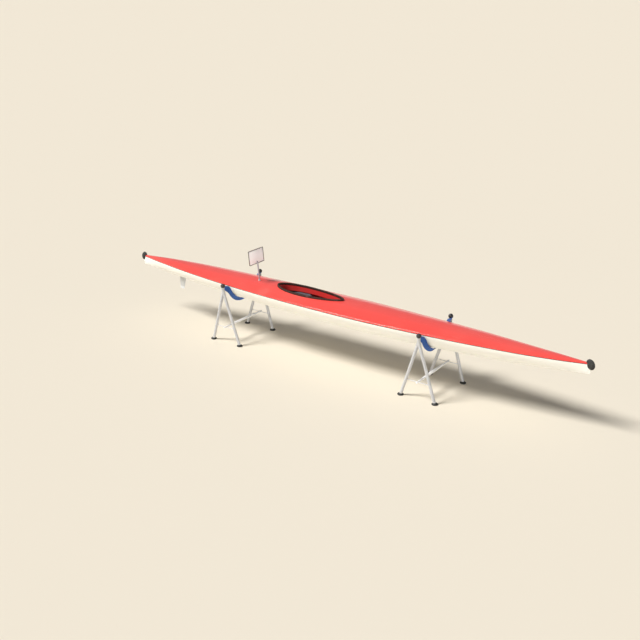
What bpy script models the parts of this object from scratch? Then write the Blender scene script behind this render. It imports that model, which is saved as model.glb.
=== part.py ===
"""A racing kayak lying in two folding sling stands.

Lengths are in metres. X runs from stern to bow with zero amidships, Y to port and Z up from the floor.
The hull and deck are thin shells bonded at the seam, with an open cockpit, a seat, a footrest and a
foot-worked tiller that turns the rudder under the stern.
"""

from dataclasses import dataclass
from math import cos, pi, radians, sin

import bmesh
import bpy
import numpy as np
from mathutils import Matrix, Vector

GAP = 0.0003  # left between faces that touch

# Hull lines: distance from the stern, half beam, seam height, rise of the deck's ridge, keel height
LENGTH = 5.20
SECTIONS = (
    (0.00, 0.0080, 0.622, 0.010, 0.525),
    (0.30, 0.0660, 0.620, 0.027, 0.506),
    (0.70, 0.1320, 0.617, 0.037, 0.479),
    (1.20, 0.1870, 0.611, 0.046, 0.450),
    (1.80, 0.2280, 0.606, 0.053, 0.424),
    (2.40, 0.2450, 0.603, 0.055, 0.409),
    (3.00, 0.2450, 0.603, 0.052, 0.410),
    (3.60, 0.2130, 0.604, 0.045, 0.421),
    (4.20, 0.1620, 0.609, 0.032, 0.452),
    (4.70, 0.1010, 0.616, 0.020, 0.490),
    (5.00, 0.0520, 0.625, 0.013, 0.520),
    (5.20, 0.0080, 0.631, 0.010, 0.541),
)
HULL_FULLNESS = 1.6  # power of the bottom's curve: 1 is a V, 2 an ellipse
DECK_FULLNESS = 2.5  # power of the deck's curve: a larger one is flatter on top
WALL = 0.005
STATION_COUNT = 39
BOTTOM_POINTS = 19
DECK_POINTS = 13
CAVITY_ENDS = (0.75, 4.55)  # from the stern: beyond these the shells close on solid foam
CUT_MARGIN = 0.03

# Cockpit, an oval that is wider aft: a red coaming through the deck with a black rim on its edge
RIM_X = -0.2595
RIM_HALF_LENGTH = 0.3985
RIM_HALF_WIDTH = 0.126
RIM_AFT_SWELL = 0.18
RIM_WIDTH = 0.018
RIM_THICKNESS = 0.012
RIM_HEIGHT_AT_CENTRE = 0.678
RIM_SLOPE = -0.010
RIM_DROP_AT_SIDES = 0.009
RIM_CORNER = 0.004
RIM_SIDES = 48
OPENING_INSET = 0.012
OPENING_CUT = (0.55, 0.75)  # heights between which the deck is cut away
COAMING_FOOT = 0.006  # how far the coaming's foot spreads over the deck
COAMING_WALL = 0.004
COAMING_BOTTOM = 0.588

# Seat
SEAT_X = -0.465
SEAT_LENGTH = 0.310
SEAT_WIDTH = 0.250
SEAT_TOP = 0.585
SEAT_BOTTOM = 0.500
SEAT_DISH = (0.140, 0.105, 0.060)
SEAT_EDGE = 0.008
SEAT_RAIL_LENGTH = 0.240
SEAT_RAIL_WIDTH = 0.016
SEAT_RAIL_Y = 0.070

# Footrest and tiller
FITTING_FOOT = 0.40  # below the hull, whose floor trims the fittings that stand on it
FOOTREST_X = 0.460
FOOTREST_WIDTH = 0.60
FOOTREST_THICKNESS = 0.012
FOOTREST_TOP = 0.585
TILLER_X = 0.385
TILLER_BASE_SIZE = (0.050, 0.050)
TILLER_BASE_TOP = 0.500
TILLER_THICKNESS = 0.008
TILLER_BAR_LENGTH = 0.140
TILLER_BAR_WIDTH = 0.018
TILLER_LEVER_LENGTH = 0.085
TILLER_HEIGHT = 0.506
PIN_RADIUS = 0.004
PIN_HEAD = 0.004
PIN_CLEARANCE = 0.0005

# Rudder
RUDDER_AXIS_X = -2.600 + 0.592
RUDDER_FRONT = 0.046
RUDDER_BACK = 0.045
RUDDER_SWEEP = 0.032
RUDDER_NOSE = 0.014
RUDDER_TOP = 0.479
RUDDER_FOOT = 0.345
RUDDER_THICKNESS = 0.006
RUDDER_TRAILING_EDGE = 0.0016
STOCK_TOP = 0.560
STOCK_GRIP = 0.04  # how far the stock reaches down inside the blade

# End balls
BALL_RADII = (0.037, 0.019, 0.049)
BALL_LEAN = 22.0  # each ball leans back over the deck
BALL_INSET = 0.004
TIP_STATIONS = 5
BALL_HEIGHTS = {"stern": 0.623, "bow": 0.626}

# Number plate, which leans towards the stern with its stem
PLATE_X = -0.946
PLATE_Z = 0.9125
PLATE_WIDTH = 0.234
PLATE_HEIGHT = 0.151
PLATE_RAKE = 5.5
PLATE_THICKNESS = 0.003
PLATE_BORDER = 0.008
PLATE_BORDER_DEPTH = 0.008
STEM_RADIUS = 0.007
STEM_OVERLAP = 0.028  # how far the stem reaches up behind the plate
SOCKET_RADIUS = 0.0125
SOCKET_HEIGHT = 0.012
SOCKET_FLOOR = 0.004

# Stands
STAND_X = {"stern_stand": -1.150, "bow_stand": 1.150}
HEAD_Y = 0.300
HEAD_Z = 0.634
HEAD_RADIUS = 0.0235
FOOT_X = 0.179
FOOT_Y = 0.276
FOOT_RADIUS = 0.030
FOOT_HEIGHT = 0.018
FOOT_EDGE = 0.003
LEG_RADIUS = 0.015
LEG_SIDES = 14
MITRE_WALL = (0.10, 0.20, 0.20)  # the block that trims each leg at the middle of its pair
BRACE_Z = 0.177
BRACE_RADIUS = 0.003
SPREADER_RADIUS = 0.010
SPREADER_OVERHANG = 0.012
SLING_WIDTH = 0.064
SLING_END_WIDTH = 0.034
SLING_TAPER = 0.05
SLING_THICKNESS = 0.004
SLING_CROWN = 0.012  # how far the middle of the strap stands above a straight line between its edges
SLING_SAMPLES = 37
SLING_END_INSET = 0.015  # from the head's middle to the strap's end
SLING_HEAD_DROP = 0.006
# Half of the strap's two edges: the fore edge follows the keel and the slack aft edge hangs free
SLING_EDGES = (
    # fore out, fore height above the strap's bed, aft out, aft drop below the head
    (0.000, 0.0000, 0.000, 0.2490),
    (0.060, 0.0110, 0.050, 0.2430),
    (0.112, 0.0395, 0.092, 0.2220),
    (0.150, 0.0700, 0.128, 0.1890),
    (0.187, 0.1060, 0.154, 0.1540),
    (0.215, 0.1380, 0.188, 0.1140),
    (0.243, 0.1720, 0.229, 0.0790),
)


@dataclass(frozen=True)
class Lines:
    """The hull's measures at one distance from the stern."""

    half_beam: float
    seam: float
    rise: float
    keel: float


def smooth_curve(at, xs, ys):
    """Reads a curve through the points (xs, ys) whose slope is continuous."""
    slopes = np.gradient(ys, xs)
    i = int(np.clip(np.searchsorted(xs, at) - 1, 0, len(xs) - 2))
    step = xs[i + 1] - xs[i]
    t = (at - xs[i]) / step
    start = (1 + 2 * t) * (1 - t) ** 2 * ys[i] + t * (1 - t) ** 2 * step * slopes[i]
    end = t * t * (3 - 2 * t) * ys[i + 1] + t * t * (t - 1) * step * slopes[i + 1]
    return float(start + end)


def lines_at(from_stern):
    table = np.array(SECTIONS)
    return Lines(*(smooth_curve(from_stern, table[:, 0], table[:, k]) for k in range(1, 5)))


def deck_height(x, y):
    """Height of the deck's outer surface at the point (x, y)."""
    lines = lines_at(x + LENGTH / 2)
    return lines.seam + crown(lines, y)


def crown(lines, y):
    """Height of the deck above the seam."""
    return lines.rise * (1 - abs(y / lines.half_beam) ** DECK_FULLNESS)


def keel_height(x):
    return lines_at(x + LENGTH / 2).keel


def stations(start, end, count=STATION_COUNT):
    """Distances from the stern, closer together towards both ends."""
    return [start + (end - start) * (1 - cos(pi * i / (count - 1))) / 2 for i in range(count)]


# Materials and mesh helpers


def finish(name, colour, roughness, metallic=0.0):
    material = bpy.data.materials.new(name)
    material.use_nodes = True
    shader = material.node_tree.nodes["Principled BSDF"]
    shader.inputs["Base Color"].default_value = (*colour, 1.0)
    shader.inputs["Roughness"].default_value = roughness
    shader.inputs["Metallic"].default_value = metallic
    return material


def add_object(name, bm, material, smooth_angle=None, location=(0, 0, 0)):
    """Turns a bmesh into an object. smooth_angle, in degrees, shades it smooth up to that edge angle."""
    bmesh.ops.recalc_face_normals(bm, faces=bm.faces)
    mesh = bpy.data.meshes.new(name)
    bm.to_mesh(mesh)
    bm.free()
    mesh.materials.append(material)
    if smooth_angle is not None:
        mesh.shade_smooth()
        mesh.set_sharp_from_angle(angle=radians(smooth_angle))
    obj = bpy.data.objects.new(name, mesh)
    obj.location = location
    bpy.context.scene.collection.objects.link(obj)
    return obj


def add_cutter(name, bm, location=(0, 0, 0)):
    cutter = add_object(name, bm, CUTTER_MATERIAL, location=location)
    cutter.hide_render = True
    cutter.display_type = "WIRE"
    return cutter


def combine(obj, other, operation):
    modifier = obj.modifiers.new(f"{operation.lower()} {other.name}", "BOOLEAN")
    modifier.operation = operation
    modifier.object = other
    modifier.solver = "EXACT"


def bevel(obj, width, segments=2, angle=40):
    modifier = obj.modifiers.new("bevel", "BEVEL")
    modifier.width = width
    modifier.segments = segments
    modifier.limit_method = "ANGLE"
    modifier.angle_limit = radians(angle)


def loft(rings):
    """A closed solid through rings that have the same number of points."""
    bm = bmesh.new()
    rows = [[bm.verts.new(point) for point in ring] for ring in rings]
    for row, following in zip(rows, rows[1:]):
        for k in range(len(row)):
            after = (k + 1) % len(row)
            bm.faces.new((row[k], row[after], following[after], following[k]))
    bm.faces.new(rows[0])
    bm.faces.new(rows[-1])
    return bm


def loop_loft(rings):
    """A closed solid whose rings follow each other round a circuit and meet again."""
    bm = bmesh.new()
    rows = [[bm.verts.new(point) for point in ring] for ring in rings]
    for i, row in enumerate(rows):
        following = rows[(i + 1) % len(rows)]
        for k in range(len(row)):
            after = (k + 1) % len(row)
            bm.faces.new((row[k], row[after], following[after], following[k]))
    return bm


def box(size, centre):
    bm = bmesh.new()
    bmesh.ops.create_cube(bm, size=1.0, matrix=Matrix.Translation(centre) @ Matrix.Diagonal((*size, 1.0)))
    return bm


def rod(start, end, radius, sides=16):
    start, end = Vector(start), Vector(end)
    turn = (end - start).to_track_quat("Z", "Y").to_matrix().to_4x4()
    bm = bmesh.new()
    bmesh.ops.create_cone(
        bm,
        cap_ends=True,
        segments=sides,
        radius1=radius,
        radius2=radius,
        depth=(end - start).length,
        matrix=Matrix.Translation((start + end) / 2) @ turn,
    )
    return bm


def ball(radii, centre, columns=18, rows=12):
    bm = bmesh.new()
    place = Matrix.Translation(centre) @ Matrix.Diagonal((*radii, 1.0))
    bmesh.ops.create_uvsphere(bm, u_segments=columns, v_segments=rows, radius=1.0, matrix=place)
    return bm


def prism(outline, low, high):
    """An outline of (x, y) points raised from low to high."""
    return loft([[(x, y, z) for x, y in outline] for z in (low, high)])


# Hull and deck


def bottom_curve(lines, wall):
    """The bottom's points from starboard to port, moved in by wall."""
    half_beam = lines.half_beam - wall
    depth = lines.seam - lines.keel - wall
    power = 2 / HULL_FULLNESS
    points = []
    for i in range(BOTTOM_POINTS):
        turn = pi * i / (BOTTOM_POINTS - 1)
        across = abs(cos(turn)) ** power * (1 if turn > pi / 2 else -1)
        points.append((half_beam * across, lines.seam - depth * sin(turn) ** power))
    return points


def hull_ring(from_stern, wall, top):
    """The hull's section, closed straight across at a height of top above the seam."""
    lines = lines_at(from_stern)
    x = from_stern - LENGTH / 2
    curve = bottom_curve(lines, wall)
    if top > 0:
        first, last = curve[0], curve[-1]
        curve = [(first[0], first[1] + top), *curve, (last[0], last[1] + top)]
    return [(x, y, z) for y, z in curve]


def deck_ring(from_stern, wall, skirt):
    """The deck's section, moved in by wall and closed straight across skirt below the seam."""
    lines = lines_at(from_stern)
    x = from_stern - LENGTH / 2
    half_width = lines.half_beam * (1 - wall / lines.rise) ** (1 / DECK_FULLNESS)
    ring = []
    for i in range(DECK_POINTS):
        y = half_width * (2 * i / (DECK_POINTS - 1) - 1)
        ring.append((x, y, lines.seam + crown(lines, y) - wall))
    if skirt > 0:
        ring = [(x, -half_width, lines.seam - skirt), *ring, (x, half_width, lines.seam - skirt)]
    return ring


def cavity(wall):
    """The hollow of the hull, as a solid that stands above the seam."""
    return loft([hull_ring(s, wall, CUT_MARGIN) for s in stations(*CAVITY_ENDS)])


def build_hull():
    bm = loft([hull_ring(s, 0, 0) for s in stations(0, LENGTH)])
    hull = add_object("hull_shell", bm, WHITE_GELCOAT, 35)
    combine(hull, add_cutter("hull_cavity_cutter", cavity(WALL)), "DIFFERENCE")
    bore = rod(
        (RUDDER_AXIS_X, 0, RUDDER_TOP - CUT_MARGIN),
        (RUDDER_AXIS_X, 0, STOCK_TOP + PIN_CLEARANCE),
        PIN_RADIUS + PIN_CLEARANCE,
    )
    combine(hull, add_cutter("rudder_bore_cutter", bore), "DIFFERENCE")


def build_deck():
    bm = loft([deck_ring(s, 0, 0) for s in stations(0, LENGTH)])
    deck = add_object("deck_shell", bm, RED_GELCOAT, 35, (0, 0, GAP))
    hollow = loft([deck_ring(s, WALL, CUT_MARGIN) for s in stations(*CAVITY_ENDS)])
    combine(deck, add_cutter("deck_cavity_cutter", hollow, (0, 0, GAP)), "DIFFERENCE")
    opening = prism(rim_outline(OPENING_INSET), *OPENING_CUT)
    combine(deck, add_cutter("cockpit_opening_cutter", opening), "DIFFERENCE")


def rim_outline(inset):
    """The cockpit's oval, moved in by inset."""
    outline = []
    for i in range(RIM_SIDES):
        turn = 2 * pi * i / RIM_SIDES
        half_width = RIM_HALF_WIDTH * (1 - RIM_AFT_SWELL * cos(turn))
        x = RIM_HALF_LENGTH * cos(turn)
        y = half_width * sin(turn)
        # The outward direction of the plain ellipse is close enough for this small offset.
        out = Vector((cos(turn) / RIM_HALF_LENGTH, sin(turn) / half_width)).normalized()
        outline.append((RIM_X + x - inset * out.x, y - inset * out.y))
    return outline


def rim_height(x, y):
    return RIM_HEIGHT_AT_CENTRE + RIM_SLOPE * (x - RIM_X) - RIM_DROP_AT_SIDES * (y / RIM_HALF_WIDTH) ** 2


def rim_loop(profile):
    """A closed loop round the cockpit. profile is a list of (inset, height function of x and y)."""
    outlines = [rim_outline(inset) for inset, _ in profile]
    rings = []
    for i in range(RIM_SIDES):
        rings.append([(*outline[i], height(*outline[i])) for outline, (_, height) in zip(outlines, profile)])
    return loop_loft(rings)


def rim_underside(x, y):
    return rim_height(x, y) - RIM_THICKNESS


def build_cockpit():
    """The coaming's foot follows the deck, and its wall drops inside the opening."""

    def on_deck(x, y):
        return deck_height(x, y) + 2 * GAP

    def under_rim(x, y):
        return rim_underside(x, y) - GAP

    def bottom(x, y):
        return COAMING_BOTTOM

    wall_outer = OPENING_INSET + GAP
    wall_inner = wall_outer + COAMING_WALL
    coaming = (
        (-COAMING_FOOT, on_deck),
        (GAP, under_rim),
        (wall_inner, under_rim),
        (wall_inner, bottom),
        (wall_outer, bottom),
        (wall_outer, on_deck),
    )
    add_object("cockpit_coaming", rim_loop(coaming), RED_GELCOAT, 50)

    def shoulder(x, y):
        return rim_height(x, y) - RIM_CORNER

    rim = (
        (0.0, rim_underside),
        (0.0, shoulder),
        (RIM_CORNER, rim_height),
        (RIM_WIDTH - RIM_CORNER, rim_height),
        (RIM_WIDTH, shoulder),
        (RIM_WIDTH, rim_underside),
    )
    add_object("cockpit_rim", rim_loop(rim), BLACK_PLASTIC, 50)


# Cockpit fittings


def build_seat(bed):
    middle = (SEAT_TOP + SEAT_BOTTOM) / 2
    bm = box((SEAT_LENGTH, SEAT_WIDTH, SEAT_TOP - SEAT_BOTTOM), (0, 0, 0))
    seat = add_object("seat", bm, GREY_PLASTIC, 35, (SEAT_X, 0, middle))
    dish = add_cutter("seat_dish_cutter", ball(SEAT_DISH, (SEAT_X, 0, SEAT_TOP), 24, 12))
    combine(seat, dish, "DIFFERENCE")
    bevel(seat, SEAT_EDGE, 2, 60)
    for side, sign in (("starboard", -1), ("port", 1)):
        top = SEAT_BOTTOM - GAP
        size = (SEAT_RAIL_LENGTH, SEAT_RAIL_WIDTH, top - FITTING_FOOT)
        centre = (SEAT_X, sign * SEAT_RAIL_Y, (top + FITTING_FOOT) / 2)
        rail = add_object(f"seat_rail_{side}", box(size, centre), ALUMINIUM)
        combine(rail, bed, "INTERSECT")


def build_footrest(bed):
    height = FOOTREST_TOP - FITTING_FOOT
    size = (FOOTREST_THICKNESS, FOOTREST_WIDTH, height)
    board = box(size, (FOOTREST_X, 0, FITTING_FOOT + height / 2))
    footrest = add_object("footrest_board", board, ALUMINIUM)
    combine(footrest, bed, "INTERSECT")


def build_tiller(bed):
    height = TILLER_BASE_TOP - FITTING_FOOT
    block = box((*TILLER_BASE_SIZE, height), (TILLER_X, 0, FITTING_FOOT + height / 2))
    base = add_object("tiller_base", block, ALUMINIUM)
    combine(base, bed, "INTERSECT")
    pin_foot = TILLER_BASE_TOP + GAP
    pin_top = TILLER_HEIGHT + TILLER_THICKNESS + PIN_HEAD
    add_object(
        "tiller_pin",
        rod((TILLER_X, 0, pin_foot), (TILLER_X, 0, pin_top), PIN_RADIUS),
        ALUMINIUM,
        40,
    )
    half_bar = TILLER_BAR_LENGTH / 2
    half_width = TILLER_BAR_WIDTH / 2
    outline = [
        (half_width, -half_bar),
        (half_width, half_bar),
        (-half_width, half_bar),
        (-half_width, half_width),
        (-TILLER_LEVER_LENGTH, half_width),
        (-TILLER_LEVER_LENGTH, -half_width),
        (-half_width, -half_width),
        (-half_width, -half_bar),
    ]
    bm = prism(outline, 0, TILLER_THICKNESS)
    tiller = add_object("steering_tiller", bm, ALUMINIUM, location=(TILLER_X, 0, TILLER_HEIGHT))
    hole = rod((0, 0, -CUT_MARGIN), (0, 0, CUT_MARGIN), PIN_RADIUS + PIN_CLEARANCE)
    cutter = add_cutter("tiller_hole_cutter", hole, (TILLER_X, 0, TILLER_HEIGHT))
    combine(tiller, cutter, "DIFFERENCE")


def build_rudder():
    """A blade under the stern on a round stock that turns in the hull."""
    half = RUDDER_THICKNESS / 2
    edge = RUDDER_TRAILING_EDGE / 2
    rings = []
    for z, sweep in ((RUDDER_FOOT, RUDDER_SWEEP), (RUDDER_TOP, 0.0)):
        nose, thick_end, tail = RUDDER_FRONT - sweep, -RUDDER_BACK / 3, -RUDDER_BACK
        port = [(nose - RUDDER_NOSE, half), (thick_end, half), (tail, edge)]
        starboard = [(x, -y) for x, y in reversed(port)]
        rings.append([(x, y, z) for x, y in ((nose, 0), *port, *starboard)])
    place = (RUDDER_AXIS_X, 0, 0)
    blade = add_object("rudder", loft(rings), GREY_COMPOSITE, 30, place)
    stock = add_cutter(
        "rudder_stock_shape",
        rod((0, 0, RUDDER_TOP - STOCK_GRIP), (0, 0, STOCK_TOP), PIN_RADIUS),
        place,
    )
    combine(blade, stock, "UNION")


def tip_shape(nearest):
    """The whole hull and deck over the stations nearest one end, grown by the gap."""
    rings = []
    for s in nearest:
        lines = lines_at(s)
        outward = GAP if s == LENGTH else -GAP if s == 0 else 0.0
        x = s - LENGTH / 2 + outward
        half_beam = lines.half_beam + GAP
        ring = [(x, y, z) for y, z in bottom_curve(lines, -GAP)]
        for share in np.linspace(1, -1, DECK_POINTS):
            z = lines.seam + 2 * GAP + crown(lines, lines.half_beam * float(share))
            ring.append((x, half_beam * float(share), z))
        rings.append(ring)
    return loft(rings)


def build_end_balls():
    hull_stations = stations(0, LENGTH)
    for end, sign, nearest in (
        ("stern", -1, hull_stations[:TIP_STATIONS]),
        ("bow", 1, hull_stations[-TIP_STATIONS:]),
    ):
        centre = Vector((sign * (LENGTH / 2 - BALL_INSET), 0, BALL_HEIGHTS[end]))
        shape = ball(BALL_RADII, (0, 0, 0), 28, 16)
        lean = Matrix.Rotation(-sign * radians(BALL_LEAN), 4, "Y")
        bmesh.ops.transform(shape, matrix=Matrix.Translation(centre) @ lean, verts=shape.verts)
        cap = add_object(f"{end}_ball", shape, BLACK_RUBBER, 35)
        combine(cap, add_cutter(f"{end}_tip_cutter", tip_shape(nearest)), "DIFFERENCE")


def rake_turn():
    """The turn that leans the plate and its stem towards the stern about the plate's centre."""
    centre = Matrix.Translation((PLATE_X, 0, PLATE_Z))
    return centre @ Matrix.Rotation(-radians(PLATE_RAKE), 4, "Y") @ centre.inverted()


def raked(bm):
    bmesh.ops.transform(bm, matrix=rake_turn(), verts=bm.verts)
    return bm


def build_number_plate():
    """A blank plate in a thin border on a stem that stands in a socket on the deck."""
    centre = (PLATE_X, 0, PLATE_Z)
    border = raked(box((PLATE_BORDER_DEPTH, PLATE_WIDTH, PLATE_HEIGHT), centre))
    frame = add_object("number_plate_border", border, DARK_METAL)
    hole_size = (2 * CUT_MARGIN, PLATE_WIDTH - 2 * PLATE_BORDER, PLATE_HEIGHT - 2 * PLATE_BORDER)
    hole = add_cutter("plate_hole_cutter", raked(box(hole_size, centre)))
    combine(frame, hole, "DIFFERENCE")
    panel_size = (PLATE_THICKNESS, hole_size[1] - 2 * GAP, hole_size[2] - 2 * GAP)
    add_object("number_plate", raked(box(panel_size, centre)), PALE_PLASTIC)

    stem_x = PLATE_X + PLATE_BORDER_DEPTH / 2 + GAP + STEM_RADIUS
    stem_top = PLATE_Z - PLATE_HEIGHT / 2 + STEM_OVERLAP
    upper = rake_turn() @ Vector((stem_x, 0, stem_top))
    lean = rake_turn().to_3x3() @ Vector((0, 0, 1))
    deck = deck_height(PLATE_X, 0) + 2 * GAP
    foot = upper - lean * ((upper.z - deck) / lean.z)
    socket_shape = rod(foot, foot + Vector((0, 0, SOCKET_HEIGHT)), SOCKET_RADIUS, 24)
    socket = add_object("plate_socket", socket_shape, GREY_COMPOSITE, 40)
    hole = rod(foot + lean * SOCKET_FLOOR, upper, STEM_RADIUS + GAP, 24)
    combine(socket, add_cutter("socket_hole_cutter", hole), "DIFFERENCE")
    stem = rod(foot + lean * (SOCKET_FLOOR + GAP), upper, STEM_RADIUS)
    add_object("plate_stem", stem, GREY_COMPOSITE, 40)


# Sling stands


def leg_line(x, side, end, height):
    """The point at a given height on a leg's axis."""
    share = height / HEAD_Z
    return Vector(
        (x + end * FOOT_X * (1 - share), side * (FOOT_Y + (HEAD_Y - FOOT_Y) * share), height)
    )


def leg_rod(x, side, end, radius):
    """A leg from below its foot's top up to the head's centre, cut level at the foot."""
    low = FOOT_HEIGHT + GAP
    bm = rod(leg_line(x, side, end, low), leg_line(x, side, end, HEAD_Z), radius, LEG_SIDES)
    along = (leg_line(x, side, end, HEAD_Z) - leg_line(x, side, end, low)).normalized()
    for vert in bm.verts:
        if vert.co.z < HEAD_Z / 2:
            vert.co += along * ((low - vert.co.z) / along.z)
    return bm


def build_head(stand, x, side, side_name):
    centre = Vector((x, side * HEAD_Y, HEAD_Z))
    radii = (HEAD_RADIUS,) * 3
    add_object(f"{stand}_head_{side_name}", ball(radii, centre), BLACK_PLASTIC, 40)
    room = tuple(radius + GAP for radius in radii)
    return add_cutter(f"{stand}_head_room_{side_name}", ball(room, centre))


def build_legs(stand, x, side, side_name, head_room):
    """Two tubes that lean together and meet at a mitre under the head."""
    thick = []
    for end, end_name in ((-1, "aft"), (1, "fore")):
        name = f"{stand}_leg_{side_name}_{end_name}"
        leg = add_object(name, leg_rod(x, side, end, LEG_RADIUS), ALUMINIUM, 40)
        combine(leg, head_room, "DIFFERENCE")
        wall_at = (x - end * (MITRE_WALL[0] - GAP) / 2, side * HEAD_Y, HEAD_Z)
        wall = box(MITRE_WALL, wall_at)
        combine(leg, add_cutter(f"{name}_mitre", wall), "DIFFERENCE")
        foot_at = leg_line(x, side, end, 0)
        foot = rod(foot_at, foot_at + Vector((0, 0, FOOT_HEIGHT)), FOOT_RADIUS, 20)
        cap = add_object(f"{stand}_foot_{side_name}_{end_name}", foot, BLACK_RUBBER, 40)
        bevel(cap, FOOT_EDGE, 1)
        thick.append(add_cutter(f"{name}_room", leg_rod(x, side, end, LEG_RADIUS + GAP)))
    return thick


def build_braces(stand, x, side, side_name, leg_rooms):
    """A thin rod between a pair of legs."""
    start = leg_line(x, side, -1, BRACE_Z)
    end = leg_line(x, side, 1, BRACE_Z)
    brace = add_object(f"{stand}_brace_{side_name}", rod(start, end, BRACE_RADIUS, 12), ALUMINIUM, 40)
    for room in leg_rooms:
        combine(brace, room, "DIFFERENCE")
    return add_cutter(f"{stand}_brace_room_{side_name}", rod(start, end, BRACE_RADIUS + GAP, 12))


def sling_edge(out, up):
    """One edge of the strap from starboard head to port head, sampled evenly along its length."""
    ys = np.array([*(-y for y in reversed(out[1:])), *out])
    zs = np.array([*reversed(up[1:]), *up])
    travel = np.concatenate([[0.0], np.cumsum(np.hypot(np.diff(ys), np.diff(zs)))])
    samples = np.linspace(0, travel[-1], SLING_SAMPLES)
    return [Vector((0, smooth_curve(s, travel, ys), smooth_curve(s, travel, zs))) for s in samples]


def build_sling(stand, x, head_rooms):
    """A strap from head to head under the keel, tight along its fore edge and slack along its aft edge."""
    bed = keel_height(x) - GAP - SLING_THICKNESS / 2
    table = np.array(SLING_EDGES)
    end_out = HEAD_Y - SLING_END_INSET
    fore = sling_edge([*table[:, 0], end_out], [*(bed + table[:, 1]), HEAD_Z])
    aft = sling_edge([*table[:, 2], end_out], [*(HEAD_Z - table[:, 3]), HEAD_Z - SLING_HEAD_DROP])
    lines = []
    for fore_point, aft_point in zip(fore, aft):
        near_head = min(1.0, (end_out - abs(fore_point.y)) / SLING_TAPER)
        half_width = (SLING_END_WIDTH + (SLING_WIDTH - SLING_END_WIDTH) * near_head) / 2
        crown = Vector((0, 0, SLING_CROWN * near_head))
        middle = (fore_point + aft_point) / 2 + crown
        line = []
        for dx, point in ((-half_width, aft_point), (0.0, middle), (half_width, fore_point)):
            slope = (keel_height(x + max(dx, 0.0)) - keel_height(x)) * near_head
            line.append(Vector((x + dx, point.y, point.z + slope)))
        lines.append(line)
    rings = []
    for i, (aft_edge, middle, fore_edge) in enumerate(lines):
        before, after = lines[max(i - 1, 0)], lines[min(i + 1, len(lines) - 1)]
        normals = []
        for k, across in enumerate((middle - aft_edge, fore_edge - aft_edge, fore_edge - middle)):
            normals.append(across.cross(after[k] - before[k]).normalized() * SLING_THICKNESS / 2)
        upper = [point + normal for point, normal in zip(lines[i], normals)]
        lower = [point - normal for point, normal in zip(lines[i], normals)]
        rings.append(upper + lower[::-1])
    strap = loft(rings)
    bmesh.ops.triangulate(strap, faces=strap.faces)
    sling = add_object(f"{stand}_sling", strap, BLUE_WEBBING, 60)
    for room in head_rooms:
        combine(sling, room, "DIFFERENCE")


def build_stand(stand, x):
    head_rooms = []
    brace_rooms = []
    for side, side_name in ((-1, "starboard"), (1, "port")):
        head_room = build_head(stand, x, side, side_name)
        leg_rooms = build_legs(stand, x, side, side_name, head_room)
        brace_rooms.append(build_braces(stand, x, side, side_name, leg_rooms))
        head_rooms.append(head_room)
    half = abs(leg_line(x, 1, 1, BRACE_Z).y) + SPREADER_OVERHANG
    bar = rod((x, -half, BRACE_Z), (x, half, BRACE_Z), SPREADER_RADIUS)
    spreader = add_object(f"{stand}_spreader", bar, ALUMINIUM, 40)
    for room in brace_rooms:
        combine(spreader, room, "DIFFERENCE")
    build_sling(stand, x, head_rooms)


for existing in list(bpy.data.objects):
    bpy.data.objects.remove(existing)

CUTTER_MATERIAL = finish("cutter", (0.5, 0.5, 0.5), 0.5)
WHITE_GELCOAT = finish("white gelcoat", (0.93, 0.90, 0.84), 0.25)
RED_GELCOAT = finish("red gelcoat", (0.85, 0.06, 0.05), 0.25)
BLACK_PLASTIC = finish("black plastic", (0.03, 0.03, 0.03), 0.45)
BLACK_RUBBER = finish("black rubber", (0.025, 0.025, 0.025), 0.7)
GREY_PLASTIC = finish("grey plastic", (0.12, 0.12, 0.14), 0.5)
ALUMINIUM = finish("aluminium", (0.70, 0.70, 0.68), 0.4, 0.8)
GREY_COMPOSITE = finish("grey composite", (0.60, 0.60, 0.60), 0.4)
DARK_METAL = finish("dark metal", (0.12, 0.11, 0.10), 0.4, 0.5)
PALE_PLASTIC = finish("pale plastic", (0.85, 0.80, 0.76), 0.5)
BLUE_WEBBING = finish("blue webbing", (0.03, 0.10, 0.40), 0.85)

build_hull()
build_deck()
build_cockpit()
hull_bed = add_cutter("hull_bed_shape", cavity(WALL + GAP))
build_seat(hull_bed)
build_footrest(hull_bed)
build_tiller(hull_bed)
build_rudder()
build_end_balls()
build_number_plate()
for stand_name, stand_x in STAND_X.items():
    build_stand(stand_name, stand_x)
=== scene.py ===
"""Dresses a racing kayak that lies in two folding sling stands.

Lengths are in metres: X runs from stern to bow with zero amidships, Y to port and Z up from the floor.
"""

import logging
from collections.abc import Callable, Iterable, Sequence
from dataclasses import dataclass
from enum import Enum
from math import cos, pi, radians, sin

import bmesh
import bpy
import numpy as np
from mathutils import Matrix, Vector


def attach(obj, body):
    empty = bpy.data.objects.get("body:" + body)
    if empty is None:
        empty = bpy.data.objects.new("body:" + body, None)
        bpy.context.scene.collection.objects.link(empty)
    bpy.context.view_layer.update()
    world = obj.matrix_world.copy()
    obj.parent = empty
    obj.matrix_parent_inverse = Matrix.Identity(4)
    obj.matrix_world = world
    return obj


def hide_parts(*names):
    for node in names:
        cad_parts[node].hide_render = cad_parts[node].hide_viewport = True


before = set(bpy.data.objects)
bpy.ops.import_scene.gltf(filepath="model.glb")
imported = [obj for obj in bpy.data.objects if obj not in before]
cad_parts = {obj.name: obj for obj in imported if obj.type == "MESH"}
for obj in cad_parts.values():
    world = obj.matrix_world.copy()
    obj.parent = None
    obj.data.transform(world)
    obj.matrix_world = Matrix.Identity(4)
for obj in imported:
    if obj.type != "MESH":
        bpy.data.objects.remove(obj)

LOG = logging.getLogger("kayak")
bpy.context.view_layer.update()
GAP = 0.0003
Point = tuple[float, float, float]
Ring = list[Point]
Colour = tuple[float, float, float]


class Body(Enum):
    """The bodies that pieces ride on."""

    BOAT = "boat_on_stands"
    TILLER = "tiller"
    RUDDER = "rudder_blade"


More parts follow.
